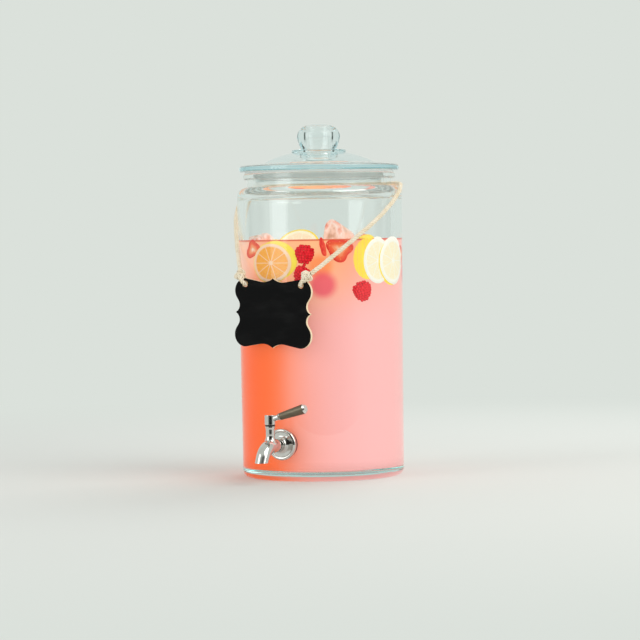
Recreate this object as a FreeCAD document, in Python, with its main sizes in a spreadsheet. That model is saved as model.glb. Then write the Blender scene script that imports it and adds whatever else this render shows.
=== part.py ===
import FreeCAD, Part
import math
import operator
import os
from types import SimpleNamespace

import Sketcher

# A glass drink dispenser with a lever tap, a loose lid and a chalkboard tag on twine.
# Millimetres. +Z is up, the jar's axis is Z and its foot stands on Z = 0. The tap points along -Y.
# Azimuths are in degrees from the tap, positive towards +X.

SIZES = {
    # Jar
    "jar_height": 352,
    "jar_top_dia": 192,
    "jar_base_dia": 188,
    "jar_wall": 8,
    "jar_floor": 11,
    "foot_round": 8,
    "floor_round": 12,
    "shoulder_width": 12.25,
    "shoulder_round": 11,
    "inner_shoulder_round": 8,
    "neck_height": 15.5,
    "neck_wall": 6.25,
    "bead_height": 7,
    "bead_proud": 4.75,
    "bead_round": 2.4,
    "rim_round": 1.6,
    # Lid and its gasket
    "gasket_thick": 2,
    "gasket_sleeve": 2.2,
    "gasket_depth": 8,
    "gasket_inset": 2,
    "mouth_clearance": 0.5,
    "lid_overhang": 4.25,
    "flange_thick": 7.2,
    "flange_round": 2.4,
    "flange_rise": 3,
    "skirt_depth": 12,
    "skirt_wall": 5,
    "dome_dia": 130,
    "dome_rise": 11.8,
    "dome_wall": 5.5,
    "collar_dia": 63,
    "collar_height": 3.2,
    "knob_dia": 50,
    "knob_neck_dia": 40,
    "knob_height": 29.7,
    "knob_waist": 14,
    "knob_shoulder": 9,
    "knob_crown": 1.7,
    "knob_flat_dia": 8,
    "knob_wall": 9.2,
    "knob_top_wall": 3.6,
    # Tap body and its fastening
    "spigot_height": 43,
    "outer_seal_thick": 3,
    "inner_seal_thick": 3,
    "seal_rim": 1.2,
    "seal_clearance": 0.2,
    "tap_flange_dia": 36.4,
    "tap_flange_thick": 4.6,
    "tap_flange_edge": 1.6,
    "tap_bead_width": 4.2,
    "tap_dish_depth": 1.1,
    "tap_boss_dia": 20,
    "tap_neck_length": 4.5,
    "shank_dia": 16,
    "shank_clearance": 0.3,
    "shank_spare": 3,
    "clamp_washer_thick": 1.5,
    "clamp_washer_dia": 27,
    "nut_thick": 8,
    "nut_flats": 24,
    "nut_chamfer": 1,
    "fit_clearance": 0.05,
    "tube_dia": 13.5,
    "elbow_dia": 16.6,
    "elbow_start": 22,
    "elbow_flare": 6,
    "mouth_dia": 14.6,
    "spout_bore": 7.2,
    "spout_lead": 29.5,
    "spout_bend": 22,
    "spout_turn": 65,
    "spout_tail": 12,
    "outlet_height": 25.6,
    "barrel_reach": 31,
    "barrel_dia": 10.2,
    "barrel_rise": 22.5,
    "barrel_foot": 4,
    "barrel_foot_dia": 16,
    "barrel_cove": 13.5,
    "barrel_lip": 2.4,
    "barrel_lip_dia": 11.4,
    # Valve and lever
    "plug_dia": 8,
    "plug_below": 5.2,
    "plug_above": 14,
    "port_dia": 5.6,
    "stem_dia": 5.6,
    "oring_thick": 1.6,
    "oring_first": 5.4,
    "oring_pitch": 3.6,
    "gland_inset": 0.5,
    "friction_washer_thick": 1.8,
    "friction_washer_dia": 11,
    "hub_dia": 12.2,
    "hub_height": 11,
    "hub_round": 0.8,
    "hub_bore_depth": 8,
    "lever_tilt": 16.7,
    "lever_neck_dia": 6.2,
    "lever_neck_length": 12,
    "tenon_dia": 4,
    "tenon_length": 8,
    "grip_length": 36,
    "grip_start_dia": 8.2,
    "grip_end_dia": 11.6,
    "grip_ring": 1.6,
    "grip_bevel": 1.8,
    "grub_dia": 3,
    # Tag, knots and twine
    "sign_width": 104,
    "sign_height": 78,
    "sign_thick": 3.2,
    "sign_corner": 14,
    "sign_cusp_in": 0.8,
    "sign_cusp_up": 0.5,
    "sign_side_run": 4,
    "sign_top_run": 19,
    "sign_hole_dia": 7.4,
    "sign_hole_across": 76,
    "sign_hole_down": 6.4,
    "sign_stand_off": 0.4,
    "sign_drop": 102.5,
    "sign_azimuth": -4.6,
    "sign_lean": 1.5,
    "knot_across": 90,
    "knot_above": 2.9,
    "knot_dia": 10.2,
    "twine_dia": 5.2,
    "twine_gap": 0.3,
}

# The bracket outline of the tag: how far its lobes run past square, and the turn of the hollows between them.
SIDE_SLOPE = 35
TOP_SLOPE = 10
SIDE_HOLLOW_TURN = -102
TOP_HOLLOW_TURN = -47

# A knot's two crossing wraps and the core they lie on, as shares of its radius.
WRAP_SHARE = 0.42
CORE_SHARE = 0.8

# The twine from the right knot to the left one: azimuth, distance outside the jar's top radius and height
# above the shoulder. It runs straight off the knots, winds up the wall, drops over the shoulder into the
# neck's groove and goes round the back.
TWINE_ROUTE = [
    (52.2, 4.2, -60.4),
    (72.2, 4.3, -36.1),
    (89.9, 4.6, -14.5),
    (104.4, 2.1, 0.8),
    (120.4, -5.8, 2.4),
    (139.4, -7.7, 2.9),
    (161.4, -7.7, 2.9),
    (183.4, -7.7, 2.9),
    (205.4, -7.7, 2.9),
    (227.4, -7.7, 2.9),
    (246.4, -5.8, 2.4),
    (261.9, 1.9, 0.9),
    (276.6, 4.7, -13.5),
    (296.6, 4.3, -43.2),
]

doc = FreeCAD.newDocument("DrinkDispenser")
sheet = doc.addObject("Spreadsheet::Sheet", "Sizes")
for row, (name, number) in enumerate(SIZES.items(), start=1):
    sheet.set("A%d" % row, name)
    sheet.set("B%d" % row, str(number))
    sheet.setAlias("B%d" % row, name)
doc.recompute()


class Size:
    """A length or angle: its value, and the expression that ties it to the sheet."""

    def __init__(self, value, text):
        self.value = value
        self.text = text

    def __add__(self, other):
        return joined(self, "+", other)

    def __radd__(self, other):
        return joined(other, "+", self)

    def __sub__(self, other):
        return joined(self, "-", other)

    def __rsub__(self, other):
        return joined(other, "-", self)

    def __mul__(self, other):
        return joined(self, "*", other)

    def __rmul__(self, other):
        return joined(other, "*", self)

    def __truediv__(self, other):
        return joined(self, "/", other)

    def __neg__(self):
        return joined(0, "-", self)


SIGNS = {"+": operator.add, "-": operator.sub, "*": operator.mul, "/": operator.truediv}


def sized(item):
    return item if isinstance(item, Size) else Size(item, "(%r)" % item)


def joined(left, sign, right):
    left = sized(left)
    right = sized(right)
    value = SIGNS[sign](left.value, right.value)
    return Size(value, "(%s %s %s)" % (left.text, sign, right.text))


def root(size):
    return Size(math.sqrt(size.value), "sqrt(%s)" % size.text)


def sine(angle):
    angle = sized(angle)
    return Size(math.sin(math.radians(angle.value)), "sin(%s * 1 deg)" % angle.text)


def cosine(angle):
    angle = sized(angle)
    return Size(math.cos(math.radians(angle.value)), "cos(%s * 1 deg)" % angle.text)


def least(first, second):
    return Size(min(first.value, second.value), "min(%s; %s)" % (first.text, second.text))


def greatest(first, second):
    return Size(max(first.value, second.value), "max(%s; %s)" % (first.text, second.text))


s = SimpleNamespace(**{name: Size(sheet.get(name), "Sizes." + name) for name in SIZES})

# Where the jar's faces lie
wall_top_r = s.jar_top_dia / 2
wall_base_r = s.jar_base_dia / 2
shoulder_z = s.jar_height - s.neck_height
shoulder_round = least(s.shoulder_round, s.shoulder_width - s.rim_round)
wall_top_z = shoulder_z - shoulder_round
neck_r = wall_top_r - s.shoulder_width
mouth_r = neck_r - s.neck_wall
bead_r = neck_r + s.bead_proud
inner_top_r = wall_top_r - s.jar_wall
inner_base_r = wall_base_r - s.jar_wall
inner_shoulder_z = shoulder_z - s.jar_wall
inner_top_z = inner_shoulder_z - s.inner_shoulder_round
inner_base_z = s.jar_floor + s.floor_round
wall_slope = (wall_top_r - wall_base_r) / (wall_top_z - s.foot_round)
inner_slope = (inner_top_r - inner_base_r) / (inner_top_z - inner_base_z)
tap_wall_r = wall_base_r + wall_slope * (s.spigot_height - s.foot_round)
tap_inner_r = inner_base_r + inner_slope * (s.spigot_height - inner_base_z)

# Where the lid's faces lie
lid_z = s.jar_height + s.gasket_thick
skirt_r = mouth_r - s.mouth_clearance - s.gasket_sleeve

# The tap's pieces along its own axis, counted outward from the glass
wall_depth = tap_wall_r - tap_inner_r
clamp_face = wall_depth + s.inner_seal_thick
nut_face = clamp_face + s.clamp_washer_thick
shank_end = nut_face + s.nut_thick + s.shank_spare
shank_r = s.shank_dia / 2
seal_r = s.tap_flange_dia / 2 - s.seal_rim
barrel_y = -(tap_wall_r + s.barrel_reach)
plug_bore_r = s.plug_dia / 2 + s.fit_clearance
barrel_top_z = s.spigot_height + s.barrel_rise
hub_z = barrel_top_z + s.friction_washer_thick
groove_r = s.plug_dia / 2 - s.oring_thick

OUTWARD = FreeCAD.Rotation(FreeCAD.Vector(1, 0, 0), 90)
UPRIGHT = FreeCAD.Rotation()

pieces = []


def piece(item, label):
    """Names a finished sub-part and adds it to those that are written out."""
    item.Label = label
    pieces.append(item)
    return item


def place(item, across, along, up, rotation=UPRIGHT):
    """Sets where an object's own origin lies, bound to the sheet, and how it is turned."""
    item.Placement = FreeCAD.Placement(FreeCAD.Vector(0, 0, 0), rotation)
    for axis, size in zip("xyz", (across, along, up)):
        if isinstance(size, Size):
            item.setExpression("Placement.Base." + axis, size.text)
    return item


def sketch_on(body, name, role):
    plane = next(feature for feature in body.Origin.OriginFeatures if feature.Role == role)
    sketch = body.newObject("Sketcher::SketchObject", name)
    sketch.AttachmentSupport = [(plane, "")]
    sketch.MapMode = "FlatFace"
    return sketch


def bind(sketch, size, *constraint):
    """A constraint of the sketch whose value follows the sheet."""
    index = sketch.addConstraint(Sketcher.Constraint(*constraint, size.value))
    sketch.setExpression("Constraints[%d]" % index, size.text)


ORIGIN = (-1, 1)
START, END, CENTRE = 1, 2, 3


def pin_point(sketch, geometry, end, across, up):
    """Fixes a point of the sketch by its distances from the sketch's origin. A plain 0 is on the axis."""
    for kind, axis, size in (("DistanceX", -2, across), ("DistanceY", -1, up)):
        if isinstance(size, Size):
            bind(sketch, size, kind, *ORIGIN, geometry, end)
        else:
            sketch.addConstraint(Sketcher.Constraint("PointOnObject", geometry, end, axis))


def point(corner):
    return FreeCAD.Vector(sized(corner[0]).value, sized(corner[1]).value, 0)


def arc(start, end, turn):
    """The arc that turns by so many degrees, to the left where that is positive, as Sketcher draws it."""
    chord = end - start
    radius = chord.Length / (2 * math.sin(math.radians(abs(turn)) / 2))
    to_centre = radius * math.cos(math.radians(turn) / 2) * math.copysign(1, turn)
    left = FreeCAD.Vector(-chord.y, chord.x, 0) / chord.Length
    centre = (start + end) / 2 + left * to_centre
    first, last = (start, end) if turn > 0 else (end, start)
    low = math.atan2(first.y - centre.y, first.x - centre.x)
    high = math.atan2(last.y - centre.y, last.x - centre.x)
    if high < low:
        high += 2 * math.pi
    circle = Part.Circle(centre, FreeCAD.Vector(0, 0, 1), radius)
    return Part.ArcOfCircle(circle, low, high)


def outline(sketch, corners, closed=True):
    """Straight and round edges between corners, each (across, up) or (across, up, turn of the arc after it)."""
    following = corners[1:] + corners[:1] if closed else corners[1:]
    ends = []
    for corner, after in zip(corners, following):
        turn = sized(corner[2] if len(corner) == 3 else 0)
        start = point(corner)
        end = point(after)
        if turn.value == 0:
            edge = sketch.addGeometry(Part.LineSegment(start, end))
        else:
            edge = sketch.addGeometry(arc(start, end, turn.value))
            across = after[0] - sized(corner[0])
            up = after[1] - sized(corner[1])
            half_turn = turn / 2 if turn.value > 0 else -turn / 2
            bind(sketch, root(across * across + up * up) / (2 * sine(half_turn)), "Radius", edge)
        ends.append((edge, END, START) if turn.value < 0 else (edge, START, END))
        pin_point(sketch, *ends[-1][:2], corner[0], corner[1])
    if not closed:
        pin_point(sketch, ends[-1][0], ends[-1][2], corners[-1][0], corners[-1][1])
    for before, after in zip(ends, ends[1:] + ends[:1] if closed else ends[1:]):
        sketch.addConstraint(Sketcher.Constraint("Coincident", before[0], before[2], after[0], after[1]))


def circle(sketch, across, up, radius):
    round_edge = Part.Circle(point((across, up)), FreeCAD.Vector(0, 0, 1), radius.value)
    index = sketch.addGeometry(round_edge)
    pin_point(sketch, index, CENTRE, across, up)
    bind(sketch, radius, "Radius", index)


def turned(name, corners):
    """A body turned about its own Z from half its section, given as (radius, height) corners."""
    body = doc.addObject("PartDesign::Body", name)
    section = sketch_on(body, name + "_section", "XZ_Plane")
    outline(section, corners)
    turning = body.newObject("PartDesign::Revolution", name + "_turning")
    turning.Profile = section
    turning.ReferenceAxis = (section, ["V_Axis"])
    turning.Angle = 360
    return body


def ring(name, inner, outer, low, high):
    return turned(name, [(inner, low), (outer, low), (outer, high), (inner, high)])


def extruded(body, kind, sketch, length, reverse, two_sided=None):
    """A pad or pocket of a sketch, to a bound length, and to a second one on the other side."""
    feature = body.newObject("PartDesign::" + kind, sketch.Name + "_" + kind.lower())
    feature.Profile = sketch
    feature.Reversed = reverse
    feature.setExpression("Length", length.text)
    if two_sided is not None:
        feature.SideType = "Two sides"
        feature.setExpression("Length2", two_sided.text)
    doc.recompute()
    return feature


def must_cut(body, before):
    """Stops if the last feature of a body took nothing away."""
    if body.Shape.Volume > before - 1:
        raise RuntimeError(body.Name + ": a cut missed the solid")


def boolean(kind, name, base, tool):
    feature = doc.addObject("Part::" + kind, name)
    feature.Base = base
    feature.Tool = tool
    return feature


def outward(item, distance):
    """Puts an object on the tap's axis, its own Z pointing out of the jar, so far outside the glass."""
    return place(item, 0, -(tap_wall_r + distance), s.spigot_height, OUTWARD)


def on_barrel(item, height):
    """Puts an object on the axis of the tap's barrel."""
    return place(item, 0, barrel_y, sized(height))


def glass_jar():
    foot_edge = wall_base_r - s.foot_round
    bead_z = s.jar_height - s.bead_height
    jar = turned(
        "glass_jar",
        [
            (0, 0),
            (foot_edge, 0, 90),
            (wall_base_r, s.foot_round),
            (wall_top_r, wall_top_z, 90),
            (wall_top_r - shoulder_round, shoulder_z),
            (neck_r, shoulder_z),
            (neck_r, bead_z),
            (bead_r - s.bead_round, bead_z, 90),
            (bead_r, bead_z + s.bead_round),
            (bead_r, s.jar_height - s.bead_round, 90),
            (bead_r - s.bead_round, s.jar_height),
            (mouth_r + s.rim_round, s.jar_height, 90),
            (mouth_r, s.jar_height - s.rim_round),
            (mouth_r, inner_shoulder_z),
            (inner_top_r - s.inner_shoulder_round, inner_shoulder_z, -90),
            (inner_top_r, inner_top_z),
            (inner_base_r, inner_base_z, -90),
            (inner_base_r - s.floor_round, s.jar_floor),
            (0, s.jar_floor),
        ],
    )
    doc.recompute()
    whole = jar.Shape.Volume
    hole = sketch_on(jar, "tap_hole", "XZ_Plane")
    circle(hole, 0, s.spigot_height, shank_r + s.shank_clearance)
    extruded(jar, "Pocket", hole, s.jar_base_dia, True)
    must_cut(jar, whole)
    return piece(jar, "glass_jar")


def lid_glass():
    flange_r = bead_r + s.lid_overhang
    flange_top = lid_z + s.flange_thick
    dome_z = flange_top + s.flange_rise
    collar_z = dome_z + s.dome_rise
    collar_top = collar_z + s.collar_height
    knob_r = s.knob_dia / 2
    knob_top = collar_top + s.knob_height
    cavity_r = knob_r - s.knob_wall
    cavity_top = knob_top - s.knob_top_wall
    cavity_round = s.knob_shoulder / 2
    skirt_in = skirt_r - s.skirt_wall
    lid = turned(
        "lid_glass",
        [
            (0, cavity_top),
            (cavity_r - cavity_round, cavity_top, -90),
            (cavity_r, cavity_top - cavity_round),
            (cavity_r, collar_z + s.rim_round - s.dome_wall, -20),
            (s.dome_dia / 2 - s.dome_wall / 2, dome_z - s.dome_wall, 8),
            (skirt_in, lid_z),
            (skirt_in, lid_z - s.skirt_depth),
            (skirt_r, lid_z - s.skirt_depth),
            (skirt_r, lid_z),
            (flange_r - s.flange_round, lid_z, 90),
            (flange_r, lid_z + s.flange_round),
            (flange_r, flange_top - s.flange_round, 83),
            (flange_r - s.flange_round, flange_top),
            (s.dome_dia / 2, dome_z, 16),
            (s.collar_dia / 2, collar_z),
            (s.collar_dia / 2, collar_top - s.rim_round, 90),
            (s.collar_dia / 2 - s.rim_round, collar_top),
            (s.knob_neck_dia / 2, collar_top, 16),
            (knob_r, collar_top + s.knob_waist, 72),
            (knob_r - s.knob_shoulder, knob_top - s.knob_crown, 16),
            (s.knob_flat_dia / 2, knob_top),
            (0, knob_top),
        ],
    )
    return piece(lid, "lid_glass")


def lid_gasket():
    inner = skirt_r + s.fit_clearance
    sleeve = inner + s.gasket_sleeve
    rim = bead_r - s.gasket_inset
    low = lid_z - s.gasket_depth
    gasket = turned(
        "lid_gasket",
        [
            (inner, low),
            (sleeve, low),
            (sleeve, s.jar_height),
            (rim, s.jar_height),
            (rim, lid_z),
            (inner, lid_z),
        ],
    )
    return piece(gasket, "lid_gasket")


def spout_corners(start):
    """Corners of the spout's centreline in the tap's own plane, as (up, out) from the glass."""
    bend_drop = s.spout_bend * (1 - cosine(s.spout_turn))
    bend_out = s.spout_lead + s.spout_bend * sine(s.spout_turn)
    end_drop = bend_drop + s.spout_tail * sine(s.spout_turn)
    end_out = bend_out + s.spout_tail * cosine(s.spout_turn)
    return [
        (0, start),
        (0, s.spout_lead, s.spout_turn),
        (-bend_drop, bend_out),
        (-end_drop, end_out),
    ]


def section_at(body, name, corner, turn, radius):
    """A round section across the spout's centreline at one of its corners, where it has turned so far."""
    section = sketch_on(body, name, "XY_Plane")
    section.AttachmentOffset = FreeCAD.Placement(
        FreeCAD.Vector(0, 0, 0), FreeCAD.Rotation(FreeCAD.Vector(1, 0, 0), 1)
    )
    section.setExpression("AttachmentOffset.Base.y", sized(corner[0]).text)
    section.setExpression("AttachmentOffset.Base.z", corner[1].text)
    section.setExpression("AttachmentOffset.Rotation.Angle", turn.text)
    circle(section, 0, 0, radius)
    return section


def spout(body, name, first_r, last_r):
    """Adds a bent pipe to a body, from where the elbow starts to past the mouth, of changing radius."""
    corners = spout_corners(s.elbow_start)
    path = sketch_on(body, name + "_path", "YZ_Plane")
    outline(path, corners, closed=False)
    first = section_at(body, name + "_first", corners[0], sized(0), first_r)
    last = section_at(body, name + "_last", corners[-1], s.spout_turn, last_r)
    doc.recompute()
    pipe = body.newObject("PartDesign::AdditivePipe", name)
    pipe.Profile = first
    pipe.Spine = (path, ["Edge1", "Edge2", "Edge3"])
    pipe.Transformation = "Multisection"
    pipe.Sections = [last]
    doc.recompute()


def tap_casting():
    """The flange, shank, tube and spout of the tap, still solid inside."""
    tube_r = s.tube_dia / 2
    elbow_r = s.elbow_dia / 2
    flange_r = s.tap_flange_dia / 2
    face = s.outer_seal_thick
    front = face + s.tap_flange_thick
    dish = front - s.tap_dish_depth
    bead_in = flange_r - s.tap_bead_width
    tap = turned(
        "tap_casting",
        [
            (0, -shank_end),
            (shank_r, -shank_end),
            (shank_r, face),
            (flange_r, face),
            (flange_r, face + s.tap_flange_edge, 80),
            (flange_r - s.tap_bead_width / 2, front, 60),
            (bead_in, dish),
            (s.tap_boss_dia / 2, dish),
            (s.tap_boss_dia / 2, front, -70),
            (tube_r, front + s.tap_neck_length),
            (tube_r, s.elbow_start - s.elbow_flare),
            (elbow_r, s.elbow_start),
            (0, s.elbow_start),
        ],
    )
    outward(tap, 0)
    spout(tap, "spout", elbow_r, s.mouth_dia / 2)
    solid = tap.Shape.Volume
    drop = s.spigot_height - s.outlet_height
    far = s.spout_lead + s.spout_bend + s.spout_tail + s.elbow_dia
    low = drop + s.spout_bend + s.spout_tail + s.elbow_dia
    outlet = sketch_on(tap, "outlet_cut", "YZ_Plane")
    outline(
        outlet,
        [
            (-low, s.spout_lead),
            (-drop, s.spout_lead),
            (-drop, far),
            (-low, far),
        ],
    )
    extruded(tap, "Pocket", outlet, s.elbow_dia, False, s.elbow_dia)
    must_cut(tap, solid)
    return tap


def tap_barrel():
    """The upright that holds the valve: a foot that coves into the elbow, a waist and a lip."""
    waist_r = s.barrel_dia / 2
    lip_r = s.barrel_lip_dia / 2
    barrel = turned(
        "tap_barrel",
        [
            (0, 0),
            (s.barrel_foot_dia / 2, 0),
            (s.barrel_foot_dia / 2, s.barrel_foot, -50),
            (waist_r, s.barrel_cove),
            (waist_r, s.barrel_rise - 1.5 * s.barrel_lip, -40),
            (lip_r, s.barrel_rise - s.barrel_lip / 2),
            (lip_r, s.barrel_rise),
            (0, s.barrel_rise),
        ],
    )
    return on_barrel(barrel, s.spigot_height)


def spigot_body():
    casting = boolean("Fuse", "tap_solid", tap_casting(), tap_barrel())
    bore_r = s.spout_bore / 2
    inlet = -(shank_end + s.shank_spare)
    waterway = turned(
        "waterway", [(0, inlet), (bore_r, inlet), (bore_r, s.elbow_start), (0, s.elbow_start)]
    )
    outward(waterway, 0)
    spout(waterway, "waterway_bend", bore_r, bore_r)
    seat = doc.addObject("Part::Cylinder", "plug_seat")
    seat_depth = s.plug_below + s.fit_clearance
    seat.setExpression("Radius", plug_bore_r.text)
    seat.setExpression("Height", (seat_depth + s.barrel_rise + s.barrel_lip).text)
    on_barrel(seat, s.spigot_height - seat_depth)
    hollow = boolean("Fuse", "tap_hollow", waterway, seat)
    piece(boolean("Cut", "tap_hollowed", casting, hollow), "spigot_body")


def glass_cone(name, low_r, high_r, low_z, high_z):
    """The jar's outer or inner wall as a solid, to shape what lies against it."""
    cone = doc.addObject("Part::Cone", name)
    cone.setExpression("Radius1", low_r.text)
    cone.setExpression("Radius2", high_r.text)
    cone.setExpression("Height", (high_z - low_z).text)
    return place(cone, 0, 0, low_z)


def seals():
    hole = shank_r + s.fit_clearance
    outer = ring("outer_seal_ring", hole, seal_r, -s.jar_wall, s.outer_seal_thick)
    gap = s.seal_clearance
    outer_wall = glass_cone("outer_wall", wall_base_r + gap, wall_top_r + gap, s.foot_round, wall_top_z)
    piece(boolean("Cut", "outer_seal_cut", outward(outer, 0), outer_wall), "outer_seal")
    inner = ring("inner_seal_ring", hole, seal_r, -clamp_face, sized(0))
    inner_wall = glass_cone("inner_wall", inner_base_r - gap, inner_top_r - gap, inner_base_z, inner_top_z)
    piece(boolean("Common", "inner_seal_cut", outward(inner, 0), inner_wall), "inner_seal")


def clamp_washer():
    washer = ring("clamp_washer", shank_r + s.fit_clearance, s.clamp_washer_dia / 2, -nut_face, -clamp_face)
    piece(outward(washer, 0), "clamp_washer")


def lock_nut():
    """A hexagon nut whose corners are turned off at both faces."""
    corner_r = s.nut_flats / math.sqrt(3)
    low = -(nut_face + s.nut_thick)
    high = -nut_face
    blank = turned(
        "nut_blank",
        [
            (shank_r + s.fit_clearance, low),
            (corner_r - 2 * s.nut_chamfer, low),
            (corner_r, low + s.nut_chamfer),
            (corner_r, high - s.nut_chamfer),
            (corner_r - 2 * s.nut_chamfer, high),
            (shank_r + s.fit_clearance, high),
        ],
    )
    hexagon = doc.addObject("Part::Prism", "nut_hexagon")
    hexagon.Polygon = 6
    hexagon.setExpression("Circumradius", corner_r.text)
    hexagon.setExpression("Height", s.nut_thick.text)
    outward(hexagon, low)
    piece(boolean("Common", "nut", outward(blank, 0), hexagon), "lock_nut")


def valve_plug():
    plug_r = s.plug_dia / 2
    stem_r = s.stem_dia / 2
    half = s.oring_thick / 2 + s.fit_clearance
    stem_top = s.barrel_rise + s.friction_washer_thick + s.hub_bore_depth - s.fit_clearance
    corners = [(0, -s.plug_below), (plug_r, -s.plug_below)]
    for level in oring_levels():
        corners += [(plug_r, level - half), (groove_r, level - half)]
        corners += [(groove_r, level + half), (plug_r, level + half)]
    corners += [(plug_r, s.plug_above), (stem_r, s.plug_above), (stem_r, stem_top), (0, stem_top)]
    plug = on_barrel(turned("valve_plug", corners), s.spigot_height)
    doc.recompute()
    solid = plug.Shape.Volume
    port = sketch_on(plug, "cross_port", "YZ_Plane")
    circle(port, 0, 0, s.port_dia / 2)
    extruded(plug, "Pocket", port, s.plug_dia, False, s.plug_dia)
    must_cut(plug, solid)
    return piece(plug, "valve_plug")


def oring_levels():
    """Heights of the two stem seals above the waterway."""
    return [s.oring_first, s.oring_first + s.oring_pitch]


def stem_orings():
    for label, level in zip(("lower_stem_oring", "upper_stem_oring"), oring_levels()):
        seal = doc.addObject("Part::Torus", label)
        seal.setExpression("Radius1", (groove_r + s.oring_thick / 2).text)
        seal.setExpression("Radius2", (s.oring_thick / 2).text)
        piece(on_barrel(seal, s.spigot_height + level), label)


def gland_ring():
    low = s.plug_above + s.fit_clearance
    high = s.barrel_rise - s.gland_inset
    gland = ring("gland_ring", s.stem_dia / 2 + s.fit_clearance, s.plug_dia / 2, low, high)
    piece(on_barrel(gland, s.spigot_height), "gland_ring")


def friction_washer():
    inner = s.stem_dia / 2 + s.fit_clearance
    washer = ring("friction_washer", inner, s.friction_washer_dia / 2, sized(0), s.friction_washer_thick)
    piece(on_barrel(washer, barrel_top_z), "friction_washer")


def along_lever(item, distance):
    """Puts an object on the lever's axis, which leaves the hub's middle towards +X and rises by its tilt."""
    up = hub_z + s.hub_height / 2 + distance * sine(s.lever_tilt)
    place(item, distance * cosine(s.lever_tilt), barrel_y, up, FreeCAD.Rotation(FreeCAD.Vector(0, 1, 0), 90))
    item.setExpression("Placement.Rotation.Angle", (90 - s.lever_tilt).text)
    return item


def lever_hub():
    hub_r = s.hub_dia / 2
    bore_r = s.stem_dia / 2 + s.fit_clearance
    hub = turned(
        "hub",
        [
            (bore_r, sized(0)),
            (hub_r - s.hub_round / 2, sized(0)),
            (hub_r, s.hub_round / 2),
            (hub_r, s.hub_height - s.hub_round, 90),
            (hub_r - s.hub_round, s.hub_height),
            (0, s.hub_height),
            (0, s.hub_bore_depth),
            (bore_r, s.hub_bore_depth),
        ],
    )
    on_barrel(hub, hub_z)
    neck_r = s.lever_neck_dia / 2
    start = s.stem_dia / 2 + s.grub_dia / 2
    neck = turned(
        "lever_neck",
        [
            (0, start),
            (neck_r, start),
            (neck_r, s.lever_neck_length),
            (s.tenon_dia / 2, s.lever_neck_length),
            (s.tenon_dia / 2, s.lever_neck_length + s.tenon_length),
            (0, s.lever_neck_length + s.tenon_length),
        ],
    )
    along_lever(neck, sized(0))
    whole = boolean("Fuse", "hub_with_neck", hub, neck)
    hole = doc.addObject("Part::Cylinder", "grub_hole")
    hole.setExpression("Radius", (s.grub_dia / 2 + s.fit_clearance).text)
    hole.setExpression("Height", s.hub_dia.text)
    place(hole, -s.hub_dia, barrel_y, hub_z + s.hub_bore_depth / 2, FreeCAD.Rotation(FreeCAD.Vector(0, 1, 0), 90))
    piece(boolean("Cut", "lever_hub_cut", whole, hole), "lever_hub")


def lever_grip():
    bore_r = s.tenon_dia / 2 + s.fit_clearance
    start_r = s.grip_start_dia / 2
    end_r = s.grip_end_dia / 2
    grip = turned(
        "lever_grip",
        [
            (bore_r, sized(0)),
            (start_r - s.grip_ring / 2, sized(0), 90),
            (start_r, s.grip_ring / 2, 90),
            (start_r - s.grip_ring / 4, s.grip_ring, -60),
            (start_r, s.grip_ring * 1.5),
            (end_r, s.grip_length - s.grip_bevel),
            (end_r - s.grip_bevel, s.grip_length),
            (0, s.grip_length),
            (0, s.tenon_length + s.fit_clearance),
            (bore_r, s.tenon_length + s.fit_clearance),
        ],
    )
    piece(along_lever(grip, s.lever_neck_length), "lever_grip")


def grub_screw():
    screw = doc.addObject("Part::Cylinder", "grub_screw")
    length = s.hub_dia / 2 - s.stem_dia / 2 - 2 * s.hub_round / 2
    screw.setExpression("Radius", (s.grub_dia / 2).text)
    screw.setExpression("Height", length.text)
    tip = s.stem_dia / 2 + s.fit_clearance
    turn = FreeCAD.Rotation(FreeCAD.Vector(0, 1, 0), -90)
    piece(place(screw, -tip, barrel_y, hub_z + s.hub_bore_depth / 2, turn), "grub_screw")


# The tag hangs from a line through its two knots, in the middle of the board's thickness. Its own X runs to
# the right as it is read, its Y up and its Z out of the jar, and its origin is midway between the knots.
sign_out = greatest(wall_top_r, wall_base_r) + s.sign_stand_off + s.sign_thick / 2
sign_turn = FreeCAD.Rotation(FreeCAD.Vector(0, 0, 1), s.sign_azimuth.value)
sign_lean = FreeCAD.Rotation(FreeCAD.Vector(0, 0, 1), -s.sign_lean.value)
SIGN_ROTATION = sign_turn * OUTWARD * sign_lean


def hang_sign(item):
    across = sign_out * sine(s.sign_azimuth)
    along = -sign_out * cosine(s.sign_azimuth)
    return place(item, across, along, shoulder_z - s.sign_drop, SIGN_ROTATION)


def sign_quarter():
    """Corners of the tag's outline from the middle of its right side to the middle of its top."""
    corner_x = s.sign_width / 2 - s.sign_corner
    corner_y = s.sign_height / 2 - s.sign_corner
    low_x = corner_x + s.sign_corner * cosine(SIDE_SLOPE)
    low_y = corner_y - s.sign_corner * sine(SIDE_SLOPE)
    high_x = corner_x - s.sign_corner * sine(TOP_SLOPE)
    high_y = corner_y + s.sign_corner * cosine(TOP_SLOPE)
    side_x = low_x - s.sign_side_run * sine(SIDE_SLOPE)
    side_y = low_y - s.sign_side_run * cosine(SIDE_SLOPE)
    top_x = high_x - s.sign_top_run * cosine(TOP_SLOPE)
    top_y = high_y - s.sign_top_run * sine(TOP_SLOPE)
    corner_turn = 90 + SIDE_SLOPE + TOP_SLOPE
    return [
        (s.sign_width / 2 - s.sign_cusp_in, 0, SIDE_HOLLOW_TURN),
        (side_x, side_y, 0),
        (low_x, low_y, corner_turn),
        (high_x, high_y, 0),
        (top_x, top_y, TOP_HOLLOW_TURN),
        (0, s.sign_height / 2 + s.sign_cusp_up, TOP_HOLLOW_TURN),
    ]


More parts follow.
